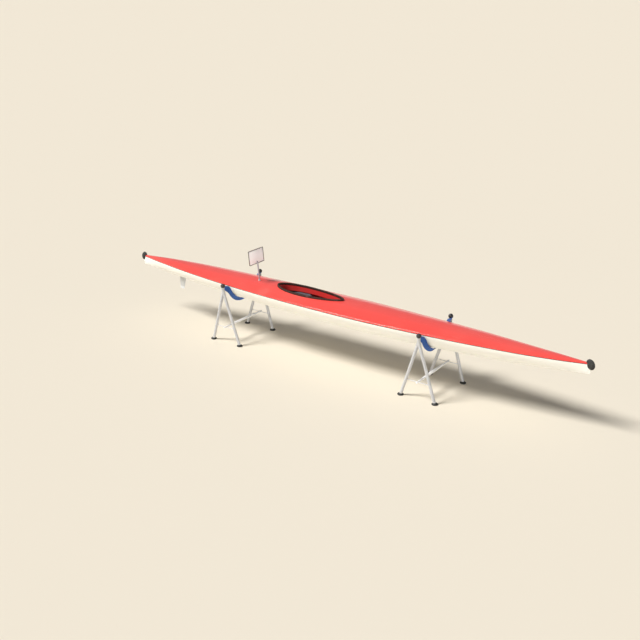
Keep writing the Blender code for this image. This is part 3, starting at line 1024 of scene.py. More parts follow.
@dataclass(frozen=True)
class Fasteners:
    """Round screw or rivet heads that stand on a surface."""

    radius: float
    height: float
    recess: float = 0.5
    sides: int = 20

    def run(self, name: str, spots: Sequence[tuple[Vector, Vector]], material: bpy.types.Material) -> bpy.types.Object:
        """Sets a head on every spot.

        Args:
            name: the new object's name.
            spots: (where the head's underside is, which way it faces) for each head.
            material: the heads' finish.

        Returns:
            The heads as one object.
        """
        sizes = {"Radius": self.radius, "Height": self.height, "Recess": self.recess}
        tree = Repeats(f"{name} tree", sizes)
        given = tree.given
        height = Term(tree, given["Height"])
        base = tree.node(
            "GeometryNodeMeshCylinder", None, Vertices=self.sides, Radius=given["Radius"], Depth=height * 0.35
        ).outputs
        shape, top = base["Mesh"], base["Top"]
        steps = ((0.35, 0.93), (0.23, 0.82), (0.07, 0.72), (0.0, given["Recess"]), (-0.55, 0.95))
        for rise, scale in steps:
            offset = tree.node("ShaderNodeCombineXYZ", None, Z=height * rise).outputs[0]
            push = {"Mesh": shape, "Selection": top, "Offset": offset, "Individual": False}
            raised = tree.node("GeometryNodeExtrudeMesh", {"mode": "FACES"}, **push).outputs
            shape, top = raised["Mesh"], raised["Top"]
            size = {"Geometry": shape, "Selection": top, "Scale": scale}
            shape = tree.node("GeometryNodeScaleElements", {"domain": "FACE"}, **size).outputs[0]
        lift = tree.node("ShaderNodeCombineXYZ", None, Z=height * 0.175).outputs[0]
        head = tree.node("GeometryNodeTransform", None, Geometry=shape, Translation=lift).outputs[0]
        facing = tree.node("GeometryNodeInputNamedAttribute", {"data_type": "FLOAT_VECTOR"}, Name="facing")
        turn = tree.node("FunctionNodeAlignRotationToVector", {"axis": "Z"}, Vector=facing.outputs[0]).outputs[0]
        set_out = tree.node(
            "GeometryNodeInstanceOnPoints", None, Points=given["Geometry"], Instance=head, Rotation=turn
        )
        tree.finish(set_out.outputs[0], material)
        bm = bmesh.new()
        layer = bm.verts.layers.float_vector.new("facing")
        for spot, face in spots:
            vert = bm.verts.new(spot)
            vert[layer] = face
        return tree.run(name, bm, material)


# The boat's form


@dataclass(frozen=True)
class Lines:
    """The hull's measures at one distance from the stern."""

    half_beam: float
    seam: float
    rise: float
    keel: float


@dataclass(frozen=True)
class HullForm:
    """The boat's outer shape."""

    length: float = 5.20
    wall: float = 0.005
    bottom_fullness: float = 1.6
    deck_fullness: float = 2.5
    edge_reach: float = 0.007
    edge_height: float = 0.013
    edge_points: int = 8
    sections: tuple[tuple[float, ...], ...] = (
        # from the stern, half beam, seam height, rise of the deck's ridge, keel height
        (0.00, 0.0080, 0.622, 0.010, 0.525),
        (0.30, 0.0660, 0.620, 0.027, 0.506),
        (0.70, 0.1320, 0.617, 0.037, 0.479),
        (1.20, 0.1870, 0.611, 0.046, 0.450),
        (1.80, 0.2280, 0.606, 0.053, 0.424),
        (2.40, 0.2450, 0.603, 0.055, 0.409),
        (3.00, 0.2450, 0.603, 0.052, 0.410),
        (3.60, 0.2130, 0.604, 0.045, 0.421),
        (4.20, 0.1620, 0.609, 0.032, 0.452),
        (4.70, 0.1010, 0.616, 0.020, 0.490),
        (5.00, 0.0520, 0.625, 0.013, 0.520),
        (5.20, 0.0080, 0.631, 0.010, 0.541),
    )

    def at(self, x: float) -> Lines:
        """The measures at one place along the boat."""
        table = np.array(self.sections)
        from_stern = x + self.length / 2
        return Lines(*(smooth_curve(from_stern, table[:, 0], table[:, k]) for k in range(1, 5)))

    def keel_height(self, x: float) -> float:
        """Height of the keel."""
        return self.at(x).keel

    def deck_height(self, x: float, y: float) -> float:
        """Height of the deck's plain curve, without its rounded edge."""
        lines = self.at(x)
        return lines.seam + lines.rise * (1 - abs(y / lines.half_beam) ** self.deck_fullness)

    def bottom_ring(self, x: float, wall: float, count: int, top: float = 0.0) -> Ring:
        """The hull's section from starboard to port.

        Args:
            x: the place along the boat.
            wall: how far the section is moved in.
            count: how many points it has.
            top: how far it reaches above the seam.

        Returns:
            The section's points.
        """
        lines = self.at(x)
        half_beam = lines.half_beam - wall
        depth = lines.seam - lines.keel - wall
        power = 2 / self.bottom_fullness
        ring = []
        for i in range(count):
            turn = pi * i / (count - 1)
            across = abs(cos(turn)) ** power * (1 if turn > pi / 2 else -1)
            ring.append((x, half_beam * across, lines.seam - depth * sin(turn) ** power))
        if top > 0:
            (_, y, z) = ring[0]
            ring = [(x, y, z + top), *ring, (x, -y, z + top)]
        return ring

    def deck_ring(self, x: float, wall: float, count: int, skirt: float = 0.0) -> Ring:
        """The deck's section from starboard to port, with its edge rolled down to the seam.

        Args:
            x: the place along the boat.
            wall: how far the section is moved in.
            count: how many points each half has.
            skirt: how far it reaches below the seam.

        Returns:
            The section's points.
        """
        lines = self.at(x)
        half_beam = lines.half_beam - wall
        rise = lines.rise - wall
        size = min(1.0, 0.4 * rise / self.edge_height, 0.3 * half_beam / self.edge_reach)
        reach, shoulder = self.edge_reach * size, self.edge_height * size
        strip = shoulder - reach

        def crown(y: float) -> float:
            return shoulder + (rise - shoulder) * (1 - (y / half_beam) ** self.deck_fullness)

        inner = half_beam - reach
        flat = count - self.edge_points
        half = [(inner * i / flat, crown(inner * i / flat)) for i in range(flat + 1)]
        top = crown(inner)
        slope = (top - crown(inner * 0.98)) / (inner * 0.02)
        corner = top + slope * reach * 0.5
        for i in range(1, self.edge_points):
            t = i / (self.edge_points - 1)
            y = (1 - t) ** 2 * inner + 2 * t * (1 - t) * half_beam + t * t * half_beam
            z = (1 - t) ** 2 * top + 2 * t * (1 - t) * corner + t * t * strip
            half.append((y, z))
        half.append((half_beam, 0.0))
        ring = [(x, -y, lines.seam + z + GAP) for y, z in reversed(half)]
        ring += [(x, y, lines.seam + z + GAP) for y, z in half[1:]]
        if skirt > 0:
            ring = [(x, -half_beam, lines.seam - skirt), *ring, (x, half_beam, lines.seam - skirt)]
        return ring


@dataclass
class CockpitForm:
    """The cockpit's oval, which is wider aft."""

    x: float = -0.2595
    half_length: float = 0.3985
    half_width: float = 0.126
    aft_swell: float = 0.18
    rim_width: float = 0.018
    rim_thickness: float = 0.012
    height_at_centre: float = 0.678
    slope: float = -0.010
    drop_at_sides: float = 0.009
    sides: int = 192

    def outline(self, inset: float) -> list[tuple[float, float]]:
        """The oval moved in by inset."""
        outline = []
        for i in range(self.sides):
            turn = 2 * pi * i / self.sides
            half_width = self.half_width * (1 - self.aft_swell * cos(turn))
            y = half_width * sin(turn)
            out = Vector((cos(turn) / self.half_length, sin(turn) / half_width)).normalized()
            outline.append((self.x + self.half_length * cos(turn) - inset * out.x, y - inset * out.y))
        return outline

    def rim_height(self, x: float, y: float) -> float:
        """Height of the rim's top."""
        return self.height_at_centre + self.slope * (x - self.x) - self.drop_at_sides * (y / self.half_width) ** 2

    def loop(self, profile: Sequence[tuple[float, Callable[[float, float], float]]]) -> bmesh.types.BMesh:
        """A closed loop round the cockpit.

        Args:
            profile: (inset, height as a function of x and y) for each corner of the section.

        Returns:
            The loop.
        """
        outlines = [self.outline(inset) for inset, _ in profile]
        rings = []
        for i in range(self.sides):
            rings.append([(*outline[i], height(*outline[i])) for outline, (_, height) in zip(outlines, profile)])
        return loft(rings, circuit=True)


# Sub-assemblies


@dataclass
class Shell:
    """The hull, the deck and the strip along their seam."""

    form: HullForm
    cockpit: CockpitForm
    finishes: Finishes
    stations: int = 129
    bottom_points: int = 49
    deck_points: int = 24
    cavity: tuple[float, float] = (-1.85, 1.95)
    cavity_stations: int = 61
    margin: float = 0.03
    opening_inset: float = 0.012
    opening_heights: tuple[float, float] = (0.55, 0.75)
    seam_width: float = 0.006
    seam_stand: float = 0.0009

    def build(self) -> None:
        """Builds and dresses all three."""
        self._build_hull()
        self._build_deck()
        self._build_seam()

    def _along(self) -> list[float]:
        """Places along the whole boat."""
        return spaced_to_ends(-self.form.length / 2, self.form.length / 2, self.stations)

    def _build_hull(self) -> None:
        """The white hull, hollow between its bulkheads."""
        outer = loft([self.form.bottom_ring(x, 0.0, self.bottom_points) for x in self._along()])
        hull = object_from("hull_skin", outer, self.finishes.white, 35.0)
        inside = spaced_to_ends(*self.cavity, self.cavity_stations)
        rings = [self.form.bottom_ring(x, self.form.wall, self.bottom_points, self.margin) for x in inside]
        cut(hull, [loft(rings)], 35.0)
        self._line(hull)
        place_piece(hull, stands_for=["hull_shell"])

    def _build_deck(self) -> None:
        """The red deck with its cockpit opening."""
        outer = loft([self.form.deck_ring(x, 0.0, self.deck_points) for x in self._along()])
        deck = object_from("deck_skin", outer, self.finishes.red, 35.0)
        inside = spaced_to_ends(*self.cavity, self.cavity_stations)
        hollow = loft([self.form.deck_ring(x, self.form.wall, self.deck_points, self.margin) for x in inside])
        outline = self.cockpit.outline(self.opening_inset)
        opening = loft([[(x, y, z) for x, y in outline] for z in self.opening_heights])
        cut(deck, [hollow, opening], 35.0)
        place_piece(deck, stands_for=["deck_shell"])

    def _line(self, hull: bpy.types.Object) -> None:
        """Gives the faces inside the hull the red lining that shows in the cockpit."""
        hull.data.materials.append(self.finishes.lining)
        for face in hull.data.polygons:
            centre = face.center
            lines = self.form.at(centre.x)
            share = abs(centre.y) / max(lines.half_beam, 1e-4)
            reach = abs(cos_power(share, self.form.bottom_fullness))
            surface = lines.seam - (lines.seam - lines.keel) * reach
            inside = self.cavity[0] - 0.01 < centre.x < self.cavity[1] + 0.01
            if inside and centre.z > surface + self.form.wall * 0.4 and centre.z < lines.seam - 1e-4:
                face.material_index = 1

    def _build_seam(self) -> None:
        """A thin dark strip that covers the joint of hull and deck."""
        rings = []
        along = self._along()
        for side in (-1, 1):
            for x in along if side < 0 else reversed(along):
                lines = self.form.at(x)
                y = side * lines.half_beam
                half, stand = self.seam_width / 2, self.seam_stand * side
                z = lines.seam
                rings.append([
                    (x, y - stand, z - half), (x, y + stand * 0.7, z - half * 0.8), (x, y + stand, z),
                    (x, y + stand * 0.7, z + half * 0.8), (x, y - stand, z + half),
                ])
        strip = object_from("seam_strip", loft(rings, circuit=True), self.finishes.seam, 60.0)
        place_piece(strip)


def cos_power(share: float, fullness: float) -> float:
    """How deep the bottom's curve is at a share of the half beam.

    Args:
        share: from 0 at the keel to 1 at the seam.
        fullness: the curve's power.

    Returns:
        The depth as a share of the whole.
    """
    base = min(1.0, share) ** fullness
    return (1 - base) ** (1 / fullness)


@dataclass
class Cockpit:
    """The coaming and its rim."""

    form: HullForm
    cockpit: CockpitForm
    finishes: Finishes
    foot: float = 0.009
    wall_inset: float = 0.0123
    wall: float = 0.004
    bottom: float = 0.599
    lip: float = 0.0016
    inner_lip: float = 0.009
    outer_lip: float = 0.005

    def build(self) -> None:
        """Builds and dresses both."""
        self._build_coaming()
        self._build_rim()

    def _under_rim(self, x: float, y: float) -> float:
        """Height of the coaming's top."""
        return self.cockpit.rim_height(x, y) - self.cockpit.rim_thickness + 0.002

    def _on_deck(self, x: float, y: float) -> float:
        """Height of the coaming's foot."""
        return self.form.deck_height(x, y) + 2 * GAP

    def _build_coaming(self) -> None:
        """A red wall that flares out to the deck and drops inside the opening."""

        def blend(share: float) -> Callable[[float, float], float]:
            return lambda x, y: self._on_deck(x, y) + (self._under_rim(x, y) - self._on_deck(x, y)) * share

        profile: list[tuple[float, Callable[[float, float], float]]] = []
        steps = 7
        for i in range(steps + 1):
            t = i / steps
            profile.append((-self.foot + (self.foot + 0.004) * sin(t * pi / 2), blend(1 - cos(t * pi / 2))))
        inner = self.wall_inset + self.wall
        profile += [
            (inner - 0.001, self._under_rim),
            (inner, lambda x, y: self._under_rim(x, y) - 0.001),
            (inner, lambda x, y: self.bottom + 0.001),
            (inner - 0.001, lambda x, y: self.bottom),
            (self.wall_inset + 0.001, lambda x, y: self.bottom),
            (self.wall_inset, lambda x, y: self.bottom + 0.001),
            (self.wall_inset, self._on_deck),
        ]
        coaming = object_from("coaming_skin", self.cockpit.loop(profile), self.finishes.satin_red, 40.0)
        coaming.data.materials.append(self.finishes.lining)
        for face in coaming.data.polygons:
            if face.center.z < self._on_deck(face.center.x, face.center.y) - 0.001:
                face.material_index = 1
        place_piece(coaming, stands_for=["cockpit_coaming"])

    def _build_rim(self) -> None:
        """A rounded black edging all the way round, with a lip down each side of the wall."""
        width, thickness = self.cockpit.rim_width, self.cockpit.rim_thickness
        corners = 20
        power = 0.4
        section = []
        for i in range(corners // 2):
            turn = 2 * pi * (i + 0.5) / corners
            across = abs(cos(turn)) ** power * (1 if cos(turn) > 0 else -1)
            section.append((width / 2 * (1 - across), thickness / 2 * (1 - sin(turn) ** power)))
        inner, outer = thickness + self.inner_lip, thickness + self.outer_lip
        edge = 0.0005
        section += [
            (width, inner - edge), (width - edge, inner), (width - self.lip + edge, inner), (width - self.lip, inner - edge),
            (width - self.lip, thickness), (self.lip, thickness), (self.lip, outer - edge), (self.lip - edge, outer),
            (edge, outer), (0.0, outer - edge),
        ]
        profile = [(inset, lambda x, y, drop=drop: self.cockpit.rim_height(x, y) - drop) for inset, drop in section]
        rim = object_from("rim_edging", self.cockpit.loop(profile), self.finishes.rim, 60.0)
        place_piece(rim, stands_for=["cockpit_rim"])


@dataclass
class Seat:
    """The moulded seat and its rails."""

    finishes: Finishes
    x: float = -0.465
    length: float = 0.310
    width: float = 0.250
    top: float = 0.585
    bottom: float = 0.500
    dish: tuple[float, float, float] = (0.135, 0.102, 0.056)
    wall: float = 0.004
    bolster: float = 0.018
    bolster_y: float = 0.101
    bolster_half: float = 0.011
    rail_y: float = 0.070
    sides: int = 120
    squareness: float = 7.0

    def build(self) -> None:
        """Builds and dresses the seat and its screws, and finishes the rails."""
        rings = [self._ring(float(share), 0.0) for share in (0.02, *np.linspace(0.1, 1.0, 25))]
        for grow, drop in ((1.0, 0.003), (1.0, 0.012), (0.985, 0.035), (0.96, 0.060), (0.95, self.top - self.bottom)):
            rings.append(self._ring(grow, drop))
        bm = loft(rings, capped=False)
        bm.verts.ensure_lookup_table()
        bm.faces.new(bm.verts[: self.sides])
        shell = object_from("seat_shell", bm, self.finishes.seat, 50.0)
        solid = shell.modifiers.new("wall", "SOLIDIFY")
        solid.thickness = self.wall
        solid.offset = -1.0
        settled(shell, 50.0)
        place_piece(shell, stands_for=["seat"])
        spots = []
        for side in Side:
            dress_node(f"seat_rail_{side.name.lower()}", self.finishes.plate_metal)
            for dx in (-0.085, 0.0, 0.085):
                spots.append((Vector((self.x + dx, side.value * (self.rail_y + 0.008), 0.478)), Vector((0, side.value, 0))))
        screws = Fasteners(0.0045, 0.0025).run("seat_rail_screws", spots, self.finishes.steel)
        place_piece(screws)

    def _ring(self, share: float, drop: float) -> Ring:
        """A rounded rectangle round the seat's middle.

        Args:
            share: its size as a share of the whole seat.
            drop: how far it lies below the seat's edge, or 0 on the upper face.

        Returns:
            The points of the ring.
        """
        ring = []
        power = 2 / (2 + (self.squareness - 2) * share)
        for k in range(self.sides):
            turn = 2 * pi * k / self.sides
            x = abs(cos(turn)) ** power * (1 if cos(turn) >= 0 else -1) * self.length / 2 * share
            y = abs(sin(turn)) ** power * (1 if sin(turn) >= 0 else -1) * self.width / 2 * share
            height = self.top - drop if drop > 0 else self._height(share, x, y)
            ring.append((self.x + x, y, height))
        return ring

    def _height(self, share: float, x: float, y: float) -> float:
        """Height of the upper face: a bowl between two low bolsters.

        Args:
            share: how far out the point is, from 0 to 1.
            x: its place along the seat from the middle.
            y: its place across the seat.

        Returns:
            The height.
        """
        inside = max(0.0, 1 - (share / (2 * self.dish[0] / self.length)) ** 2)
        bolster = np.exp(-(((abs(y) - self.bolster_y) / self.bolster_half) ** 2))
        ends = 1 - min(1.0, abs(2 * x / self.length)) ** 8
        edge = self.top - 0.002 * min(1.0, share / 0.9)
        return float(edge - self.dish[2] * inside**0.8 + self.bolster * bolster * ends * min(1.0, share * 1.5))

@dataclass
class FootControls:
    """The footrest, its bolts and the tiller."""

    finishes: Finishes
    footrest_x: float = 0.460
    thickness: float = 0.012
    tiller_x: float = 0.385
    tiller_top: float = 0.514

    def build(self) -> None:
        """Finishes the nodes and adds their bolts."""
        for node in ("footrest_board", "tiller_base", "tiller_pin", "steering_tiller"):
            dress_node(node, self.finishes.plate_metal)
        face = self.footrest_x - self.thickness / 2
        spots = []
        for y in (-0.14, -0.09, 0.09, 0.14):
            for z in (0.505, 0.555):
                spots.append((Vector((face, y, z)), Vector((-1, 0, 0))))
        bolts = Fasteners(0.0055, 0.003).run("footrest_bolts", spots, self.finishes.steel)
        place_piece(bolts)


@dataclass
class Rudder:
    """The blade under the stern on its round stock."""

    finishes: Finishes
    axis_x: float = -2.008
    front: float = 0.046
    back: float = 0.045
    sweep: float = 0.032
    top: float = 0.479
    foot: float = 0.345
    thickness: float = 0.0058
    stock_radius: float = 0.0038
    stock_top: float = 0.560
    levels: int = 13
    points: int = 17

    def build(self) -> None:
        """Builds and dresses the blade with its stock."""
        rings = []
        for i in range(self.levels):
            share = i / (self.levels - 1)
            z = self.foot + (self.top - self.foot) * share
            tip = 1 - (1 - min(1.0, share / 0.12)) ** 2
            nose = self.front - self.sweep * (1 - share) - 0.006 * (1 - tip)
            tail = -self.back + 0.004 * (1 - tip)
            rings.append(self._section(nose, tail, z, self.thickness * (0.45 + 0.55 * tip)))
        blade = loft(rings)
        stock = rounded_bar(
            Vector((self.axis_x, 0, self.top - 0.02)), Vector((self.axis_x, 0, self.stock_top)), self.stock_radius, 0.0008, 24
        )
        piece = object_from("rudder_blade_skin", joined([blade, stock]), self.finishes.composite, 45.0)
        place_piece(piece, Body.RUDDER, ["rudder"])

    def _section(self, nose: float, tail: float, z: float, thickness: float) -> Ring:
        """A thin foil's outline from its tail round the nose and back."""
        chord = nose - tail
        half = []
        for k in range(self.points):
            t = (1 - cos(pi * k / (self.points - 1))) / 2
            bulge = 2.6 * (t**0.5 * 0.45 - 0.2 * t - 0.1 * t * t - 0.14 * t**3) + 0.09 * t
            half.append((nose - chord * t, max(0.0, bulge) * thickness))
        peak = max(y for _, y in half)
        half = [(x, y * thickness / 2 / peak if 0 < k < len(half) - 1 else 0.0) for k, (x, y) in enumerate(half)]
        port = [(self.axis_x + x, y, z) for x, y in half]
        starboard = [(self.axis_x + x, -y, z) for x, y in reversed(half[1:-1])]
        return port + starboard


@dataclass
class EndBalls:
    """The soft rubber ball on each end of the boat."""

    form: HullForm
    finishes: Finishes
    radii: tuple[float, float, float] = (0.037, 0.019, 0.049)
    lean: float = 22.0
    inset: float = 0.004
    heights: tuple[float, float] = (0.623, 0.626)
    columns: int = 48
    rows: int = 32

    def build(self) -> None:
        """Builds and dresses both balls."""
        for end in End:
            height = self.heights[0 if end is End.STERN else 1]
            centre = Vector((end.value * (self.form.length / 2 - self.inset), 0, height))
            bm = bmesh.new()
            bmesh.ops.create_uvsphere(bm, u_segments=self.columns, v_segments=self.rows, radius=1.0)
            for vert in bm.verts:
                ridge = 1 + 0.02 * max(0.0, 1 - abs(vert.co.y) / 0.05)
                vert.co = Vector(
                    (vert.co.x * self.radii[0] * ridge * 0.97, vert.co.y * self.radii[1], vert.co.z * self.radii[2] * ridge * 0.97)
                )
            lean = Matrix.Rotation(-end.value * radians(self.lean), 4, "Y")
            moved(bm, Matrix.Translation(centre) @ lean)
            name = end.name.lower()
            ball = object_from(f"{name}_ball_skin", bm, self.finishes.rubber, 40.0)
            place_piece(ball, stands_for=[f"{name}_ball"])


@dataclass
class NumberPlate:
    """The blank plate in its border, on a stem that leans towards the stern."""

    form: HullForm
    finishes: Finishes
    x: float = -0.946
    z: float = 0.9125
    width: float = 0.234
    height: float = 0.151
    rake: float = 5.5
    thickness: float = 0.003
    border: float = 0.0065
    depth: float = 0.008
    stem_radius: float = 0.007
    stem_overlap: float = 0.028
    socket_radius: float = 0.0125
    socket_height: float = 0.012
    corner: float = 0.006

    def build(self) -> None:
        """Builds and dresses the plate, its border, the stem and the socket."""
        centre = Matrix.Translation((self.x, 0, self.z))
        self.turn = centre @ Matrix.Rotation(-radians(self.rake), 4, "Y")
        self._build_border()
        self._build_panel()
        self._build_stem()

    def _outline(self, inset: float, radius: float) -> list[tuple[float, float]]:
        """A rounded rectangle in the plate's own plane."""
        half_y, half_z = self.width / 2 - inset, self.height / 2 - inset
        points = []
        for k, (sy, sz) in enumerate(((1, 1), (-1, 1), (-1, -1), (1, -1))):
            for step in range(6):
                angle = pi / 2 * (k + step / 5)
                points.append((sy * (half_y - radius) + radius * cos(angle), sz * (half_z - radius) + radius * sin(angle)))
        return points

    def _build_border(self) -> None:
        """A rounded strip round the plate."""
        half = self.depth / 2
        profile = ((0.0, -half + 0.001), (0.0, half - 0.001), (0.001, half), (self.border - 0.001, half),
                   (self.border, half - 0.001), (self.border, -half + 0.001), (self.border - 0.001, -half), (0.001, -half))
        outlines = [self._outline(inset, max(0.0015, self.corner - inset)) for inset, _ in profile]
        count = len(outlines[0])
        rings = [[(d, *outline[k]) for outline, (_, d) in zip(outlines, profile)] for k in range(count)]
        border = object_from("plate_border_strip", moved(loft(rings, circuit=True), self.turn), self.finishes.border, 50.0)
        place_piece(border, stands_for=["number_plate_border"])

    def _build_panel(self) -> None:
        """The blank panel."""
        half = self.thickness / 2
        inset = self.border - 0.0015
        rings = []
        for d, shrink in ((-half, 0.0004), (-half + 0.0004, 0.0), (half - 0.0004, 0.0), (half, 0.0004)):
            rings.append([(d, y, z) for y, z in self._outline(inset + shrink, 0.0015)])
        panel = object_from("plate_panel", moved(loft(rings), self.turn), self.finishes.panel, 40.0)
        place_piece(panel, stands_for=["number_plate"])

    def _build_stem(self) -> None:
        """A round stem with a rounded top, its socket and the screws that hold the plate."""
        up = self.turn.to_3x3() @ Vector((0, 0, 1))
        back = self.turn.to_3x3() @ Vector((1, 0, 0))
        stem_x = self.depth / 2 + GAP + self.stem_radius
        top = self.turn @ Vector((stem_x, 0, -self.height / 2 + self.stem_overlap))
        deck = self.form.deck_height(self.x, 0) + 2 * GAP
        foot = top - up * ((top.z - deck) / up.z)
        stem = object_from("stem_tube", rounded_bar(foot + up * 0.0045, top, self.stem_radius, 0.0025, 40),
                           self.finishes.stem, 50.0)
        place_piece(stem, stands_for=["plate_stem"])
        r, h, bore = self.socket_radius, self.socket_height, self.stem_radius + GAP
        profile = [(0.0, 0.0), (r, 0.0), (r, h * 0.4), (r - 0.0015, h * 0.75), (r - 0.0035, h), (bore, h), (bore, 0.004), (0.0, 0.004)]
        socket = object_from("stem_socket", lathe(profile, foot, Vector((0, 0, 1)), 48), self.finishes.socket, 50.0)
        place_piece(socket, stands_for=["plate_socket"])
        spots = []
        for y in (-0.045, 0.045):
            for z in (-self.height / 2 + self.border / 2, self.height / 2 - self.border / 2):
                spots.append((self.turn @ Vector((self.depth / 2, y, z)), back))
        screws = Fasteners(0.0026, 0.0014).run("plate_screws", spots, self.finishes.steel)
        place_piece(screws)


@dataclass
class SlingStand:
    """One folding stand: four tubes, their heads and feet, a brace on each side, a spreader and a sling."""

    end: End
    form: HullForm
    finishes: Finishes
    reach_x: float = 1.150
    head_y: float = 0.300
    head_z: float = 0.634
    head_radius: float = 0.0235
    foot_x: float = 0.179
    foot_y: float = 0.276
    foot_radius: float = 0.030
    foot_height: float = 0.018
    leg_radius: float = 0.015
    leg_sides: int = 40
    meeting_z: float = 0.574
    bend: float = 0.03
    brace_z: float = 0.177
    brace_radius: float = 0.003
    spreader_radius: float = 0.0085
    sleeve_radius: float = 0.0125
    sleeve_half: float = 0.190
    spreader_overhang: float = 0.024

    def build(self) -> None:
        """Builds and dresses the stand."""
        self.name = f"{self.end.name.lower()}_stand"
        self.x = self.end.value * self.reach_x
        rivets: list[tuple[Vector, Vector]] = []
        for side in Side:
            self._build_head(side)
            for end in End:
                self._build_leg(side, end)
                self._build_foot(side, end)
            self._build_brace(side)
            rivets += self._rivet_spots(side)
        self._build_spreader()
        heads = Fasteners(0.0042, 0.0022, 0.35).run(f"{self.name}_rivets", rivets, self.finishes.steel)
        place_piece(heads)
        Sling(self).build()

    def leg_point(self, side: Side, end: End, height: float) -> Vector:
        """The point at a given height on a leg's axis, which bends upright where it meets its partner."""
        lean = self.foot_x / self.meeting_z
        if abs(height - self.meeting_z) < self.bend:
            out = lean * (self.meeting_z + self.bend - height) ** 2 / (4 * self.bend)
        else:
            out = lean * max(0.0, self.meeting_z - height)
        y = self.foot_y + (self.head_y - self.foot_y) * height / self.head_z
        return Vector((self.x + end.value * out, side.value * y, height))

    def node(self, piece: str, side: Side, end: End | None = None) -> str:
        """The name of a CAD node of this stand."""
        tail = "" if end is None else f"_{'aft' if end is End.STERN else 'fore'}"
        return f"{self.name}_{piece}_{side.name.lower()}{tail}"

    def _build_head(self, side: Side) -> None:
        """A round black knob with a faint mould line."""
        centre = Vector((self.x, side.value * self.head_y, self.head_z))
        profile = []
        steps = 28
        for i in range(steps + 1):
            angle = pi * i / steps - pi / 2
            radius = self.head_radius * cos(angle)
            if abs(i - steps / 2) < 0.5:
                radius *= 0.985
            profile.append((0.0 if i in (0, steps) else radius, self.head_radius * sin(angle)))
        head = object_from(f"{self.node('knob', side)}", lathe(profile, centre, Vector((0, 0, 1)), 48), self.finishes.knob, 60.0)
        place_piece(head, stands_for=[self.node("head", side)])

    def _build_leg(self, side: Side, end: End) -> None:
        """A tube that bends upright under the head and meets its partner there."""
        low = self.foot_height + GAP
        bends = np.linspace(self.meeting_z - self.bend, self.meeting_z + self.bend, 9)
        heights = [0.0, *bends, self.head_z]
        bm = bent_tube([self.leg_point(side, end, float(z)) for z in heights], self.leg_radius, self.leg_sides)
        planes = (
            (Vector((0, 0, low)), Vector((0, 0, -1))),
            (Vector((self.x + end.value * GAP / 2, 0, 0)), Vector((-end.value, 0, 0))),
        )
        for point, out in planes:
            result = bmesh.ops.bisect_plane(
                bm, geom=[*bm.verts, *bm.edges, *bm.faces], plane_co=point, plane_no=out, clear_outer=True
            )
            edges = [item for item in result["geom_cut"] if isinstance(item, bmesh.types.BMEdge)]
            bmesh.ops.holes_fill(bm, edges=edges)
        leg = object_from(self.node("tube", side, end), bm, self.finishes.tube, 40.0)
        place_piece(leg, stands_for=[self.node("leg", side, end)])

    def _build_foot(self, side: Side, end: End) -> None:
        """A rubber foot with a rounded shoulder and a ring of ribs."""
        at = self.leg_point(side, end, 0.0)
        r, h = self.foot_radius, self.foot_height
        profile = [(0.0, 0.0), (r - 0.004, 0.0), (r - 0.0015, 0.0008), (r - 0.0008, 0.0025), (r - 0.0008, 0.0075),
                   (r - 0.002, 0.0095), (r - 0.0045, 0.0115), (r - 0.008, 0.0145), (r - 0.0105, 0.0165),
                   (r - 0.0125, h), (0.0, h)]
        cap = object_from("foot", lathe(profile, at, Vector((0, 0, 1)), 64), self.finishes.rubber, 40.0)
        ribs = self._foot_ribs(at)
        bm = bmesh.new()
        bm.from_mesh(cap.data)
        bm.from_mesh(ribs.data)
        for helper in (cap, ribs):
            bpy.data.objects.remove(helper)
        foot = object_from(self.node("foot_cap", side, end), bm, self.finishes.rubber, 40.0)
        place_piece(foot, stands_for=[self.node("foot", side, end)])

    def _foot_ribs(self, at: Vector) -> bpy.types.Object:
        """Ribs round a foot's side."""
        sizes = {"Radius": self.foot_radius - 0.0012, "Rib width": 0.0022, "Rib height": 0.005}
        tree = Repeats("foot ribs tree", sizes)
        given = tree.given
        count = 40
        ring = tree.node("GeometryNodeMeshCircle", None, Vertices=count, Radius=given["Radius"]).outputs[0]
        moved_ring = tree.node(
            "GeometryNodeTransform", None, Geometry=ring, Translation=(at.x, at.y, 0.005)
        ).outputs[0]
        size = tree.node("ShaderNodeCombineXYZ", None, X=given["Rib width"], Y=given["Rib width"], Z=given["Rib height"])
        rib = tree.node("GeometryNodeMeshCube", None, Size=size.outputs[0]).outputs[0]
        index = Term(tree, tree.node("GeometryNodeInputIndex").outputs[0])
        turn = tree.node("ShaderNodeCombineXYZ", None, Z=index * (2 * pi / count)).outputs[0]
        laid = tree.node("GeometryNodeInstanceOnPoints", None, Points=moved_ring, Instance=rib)
        to_turn = tree.node("FunctionNodeEulerToRotation", None, Euler=turn).outputs[0]
        tree.fill(laid.inputs["Rotation"], to_turn)
        tree.finish(laid.outputs[0], self.finishes.rubber)
        return tree.run("ribs", paths_mesh([[at, at + Vector((0, 0, 0.001))]]), self.finishes.rubber)

    def _build_brace(self, side: Side) -> None:
        """A thin rod with an eye at each leg."""
        start = self.leg_point(side, End.STERN, self.brace_z)
        end = self.leg_point(side, End.BOW, self.brace_z)
        along = (end - start).normalized()
        rod = rounded_bar(start, end, self.brace_radius, 0.0005, 20)
        collars = []
        for at, sign in ((start, 1), (end, -1)):
            begin = at + along * sign * self.leg_radius * 0.8
            collars.append(rounded_bar(begin, begin + along * sign * 0.012, self.brace_radius * 1.7, 0.001, 20))
        brace = object_from(self.node("brace_rod", side), joined([rod, *collars]), self.finishes.tube, 40.0)
        place_piece(brace, stands_for=[self.node("brace", side)])

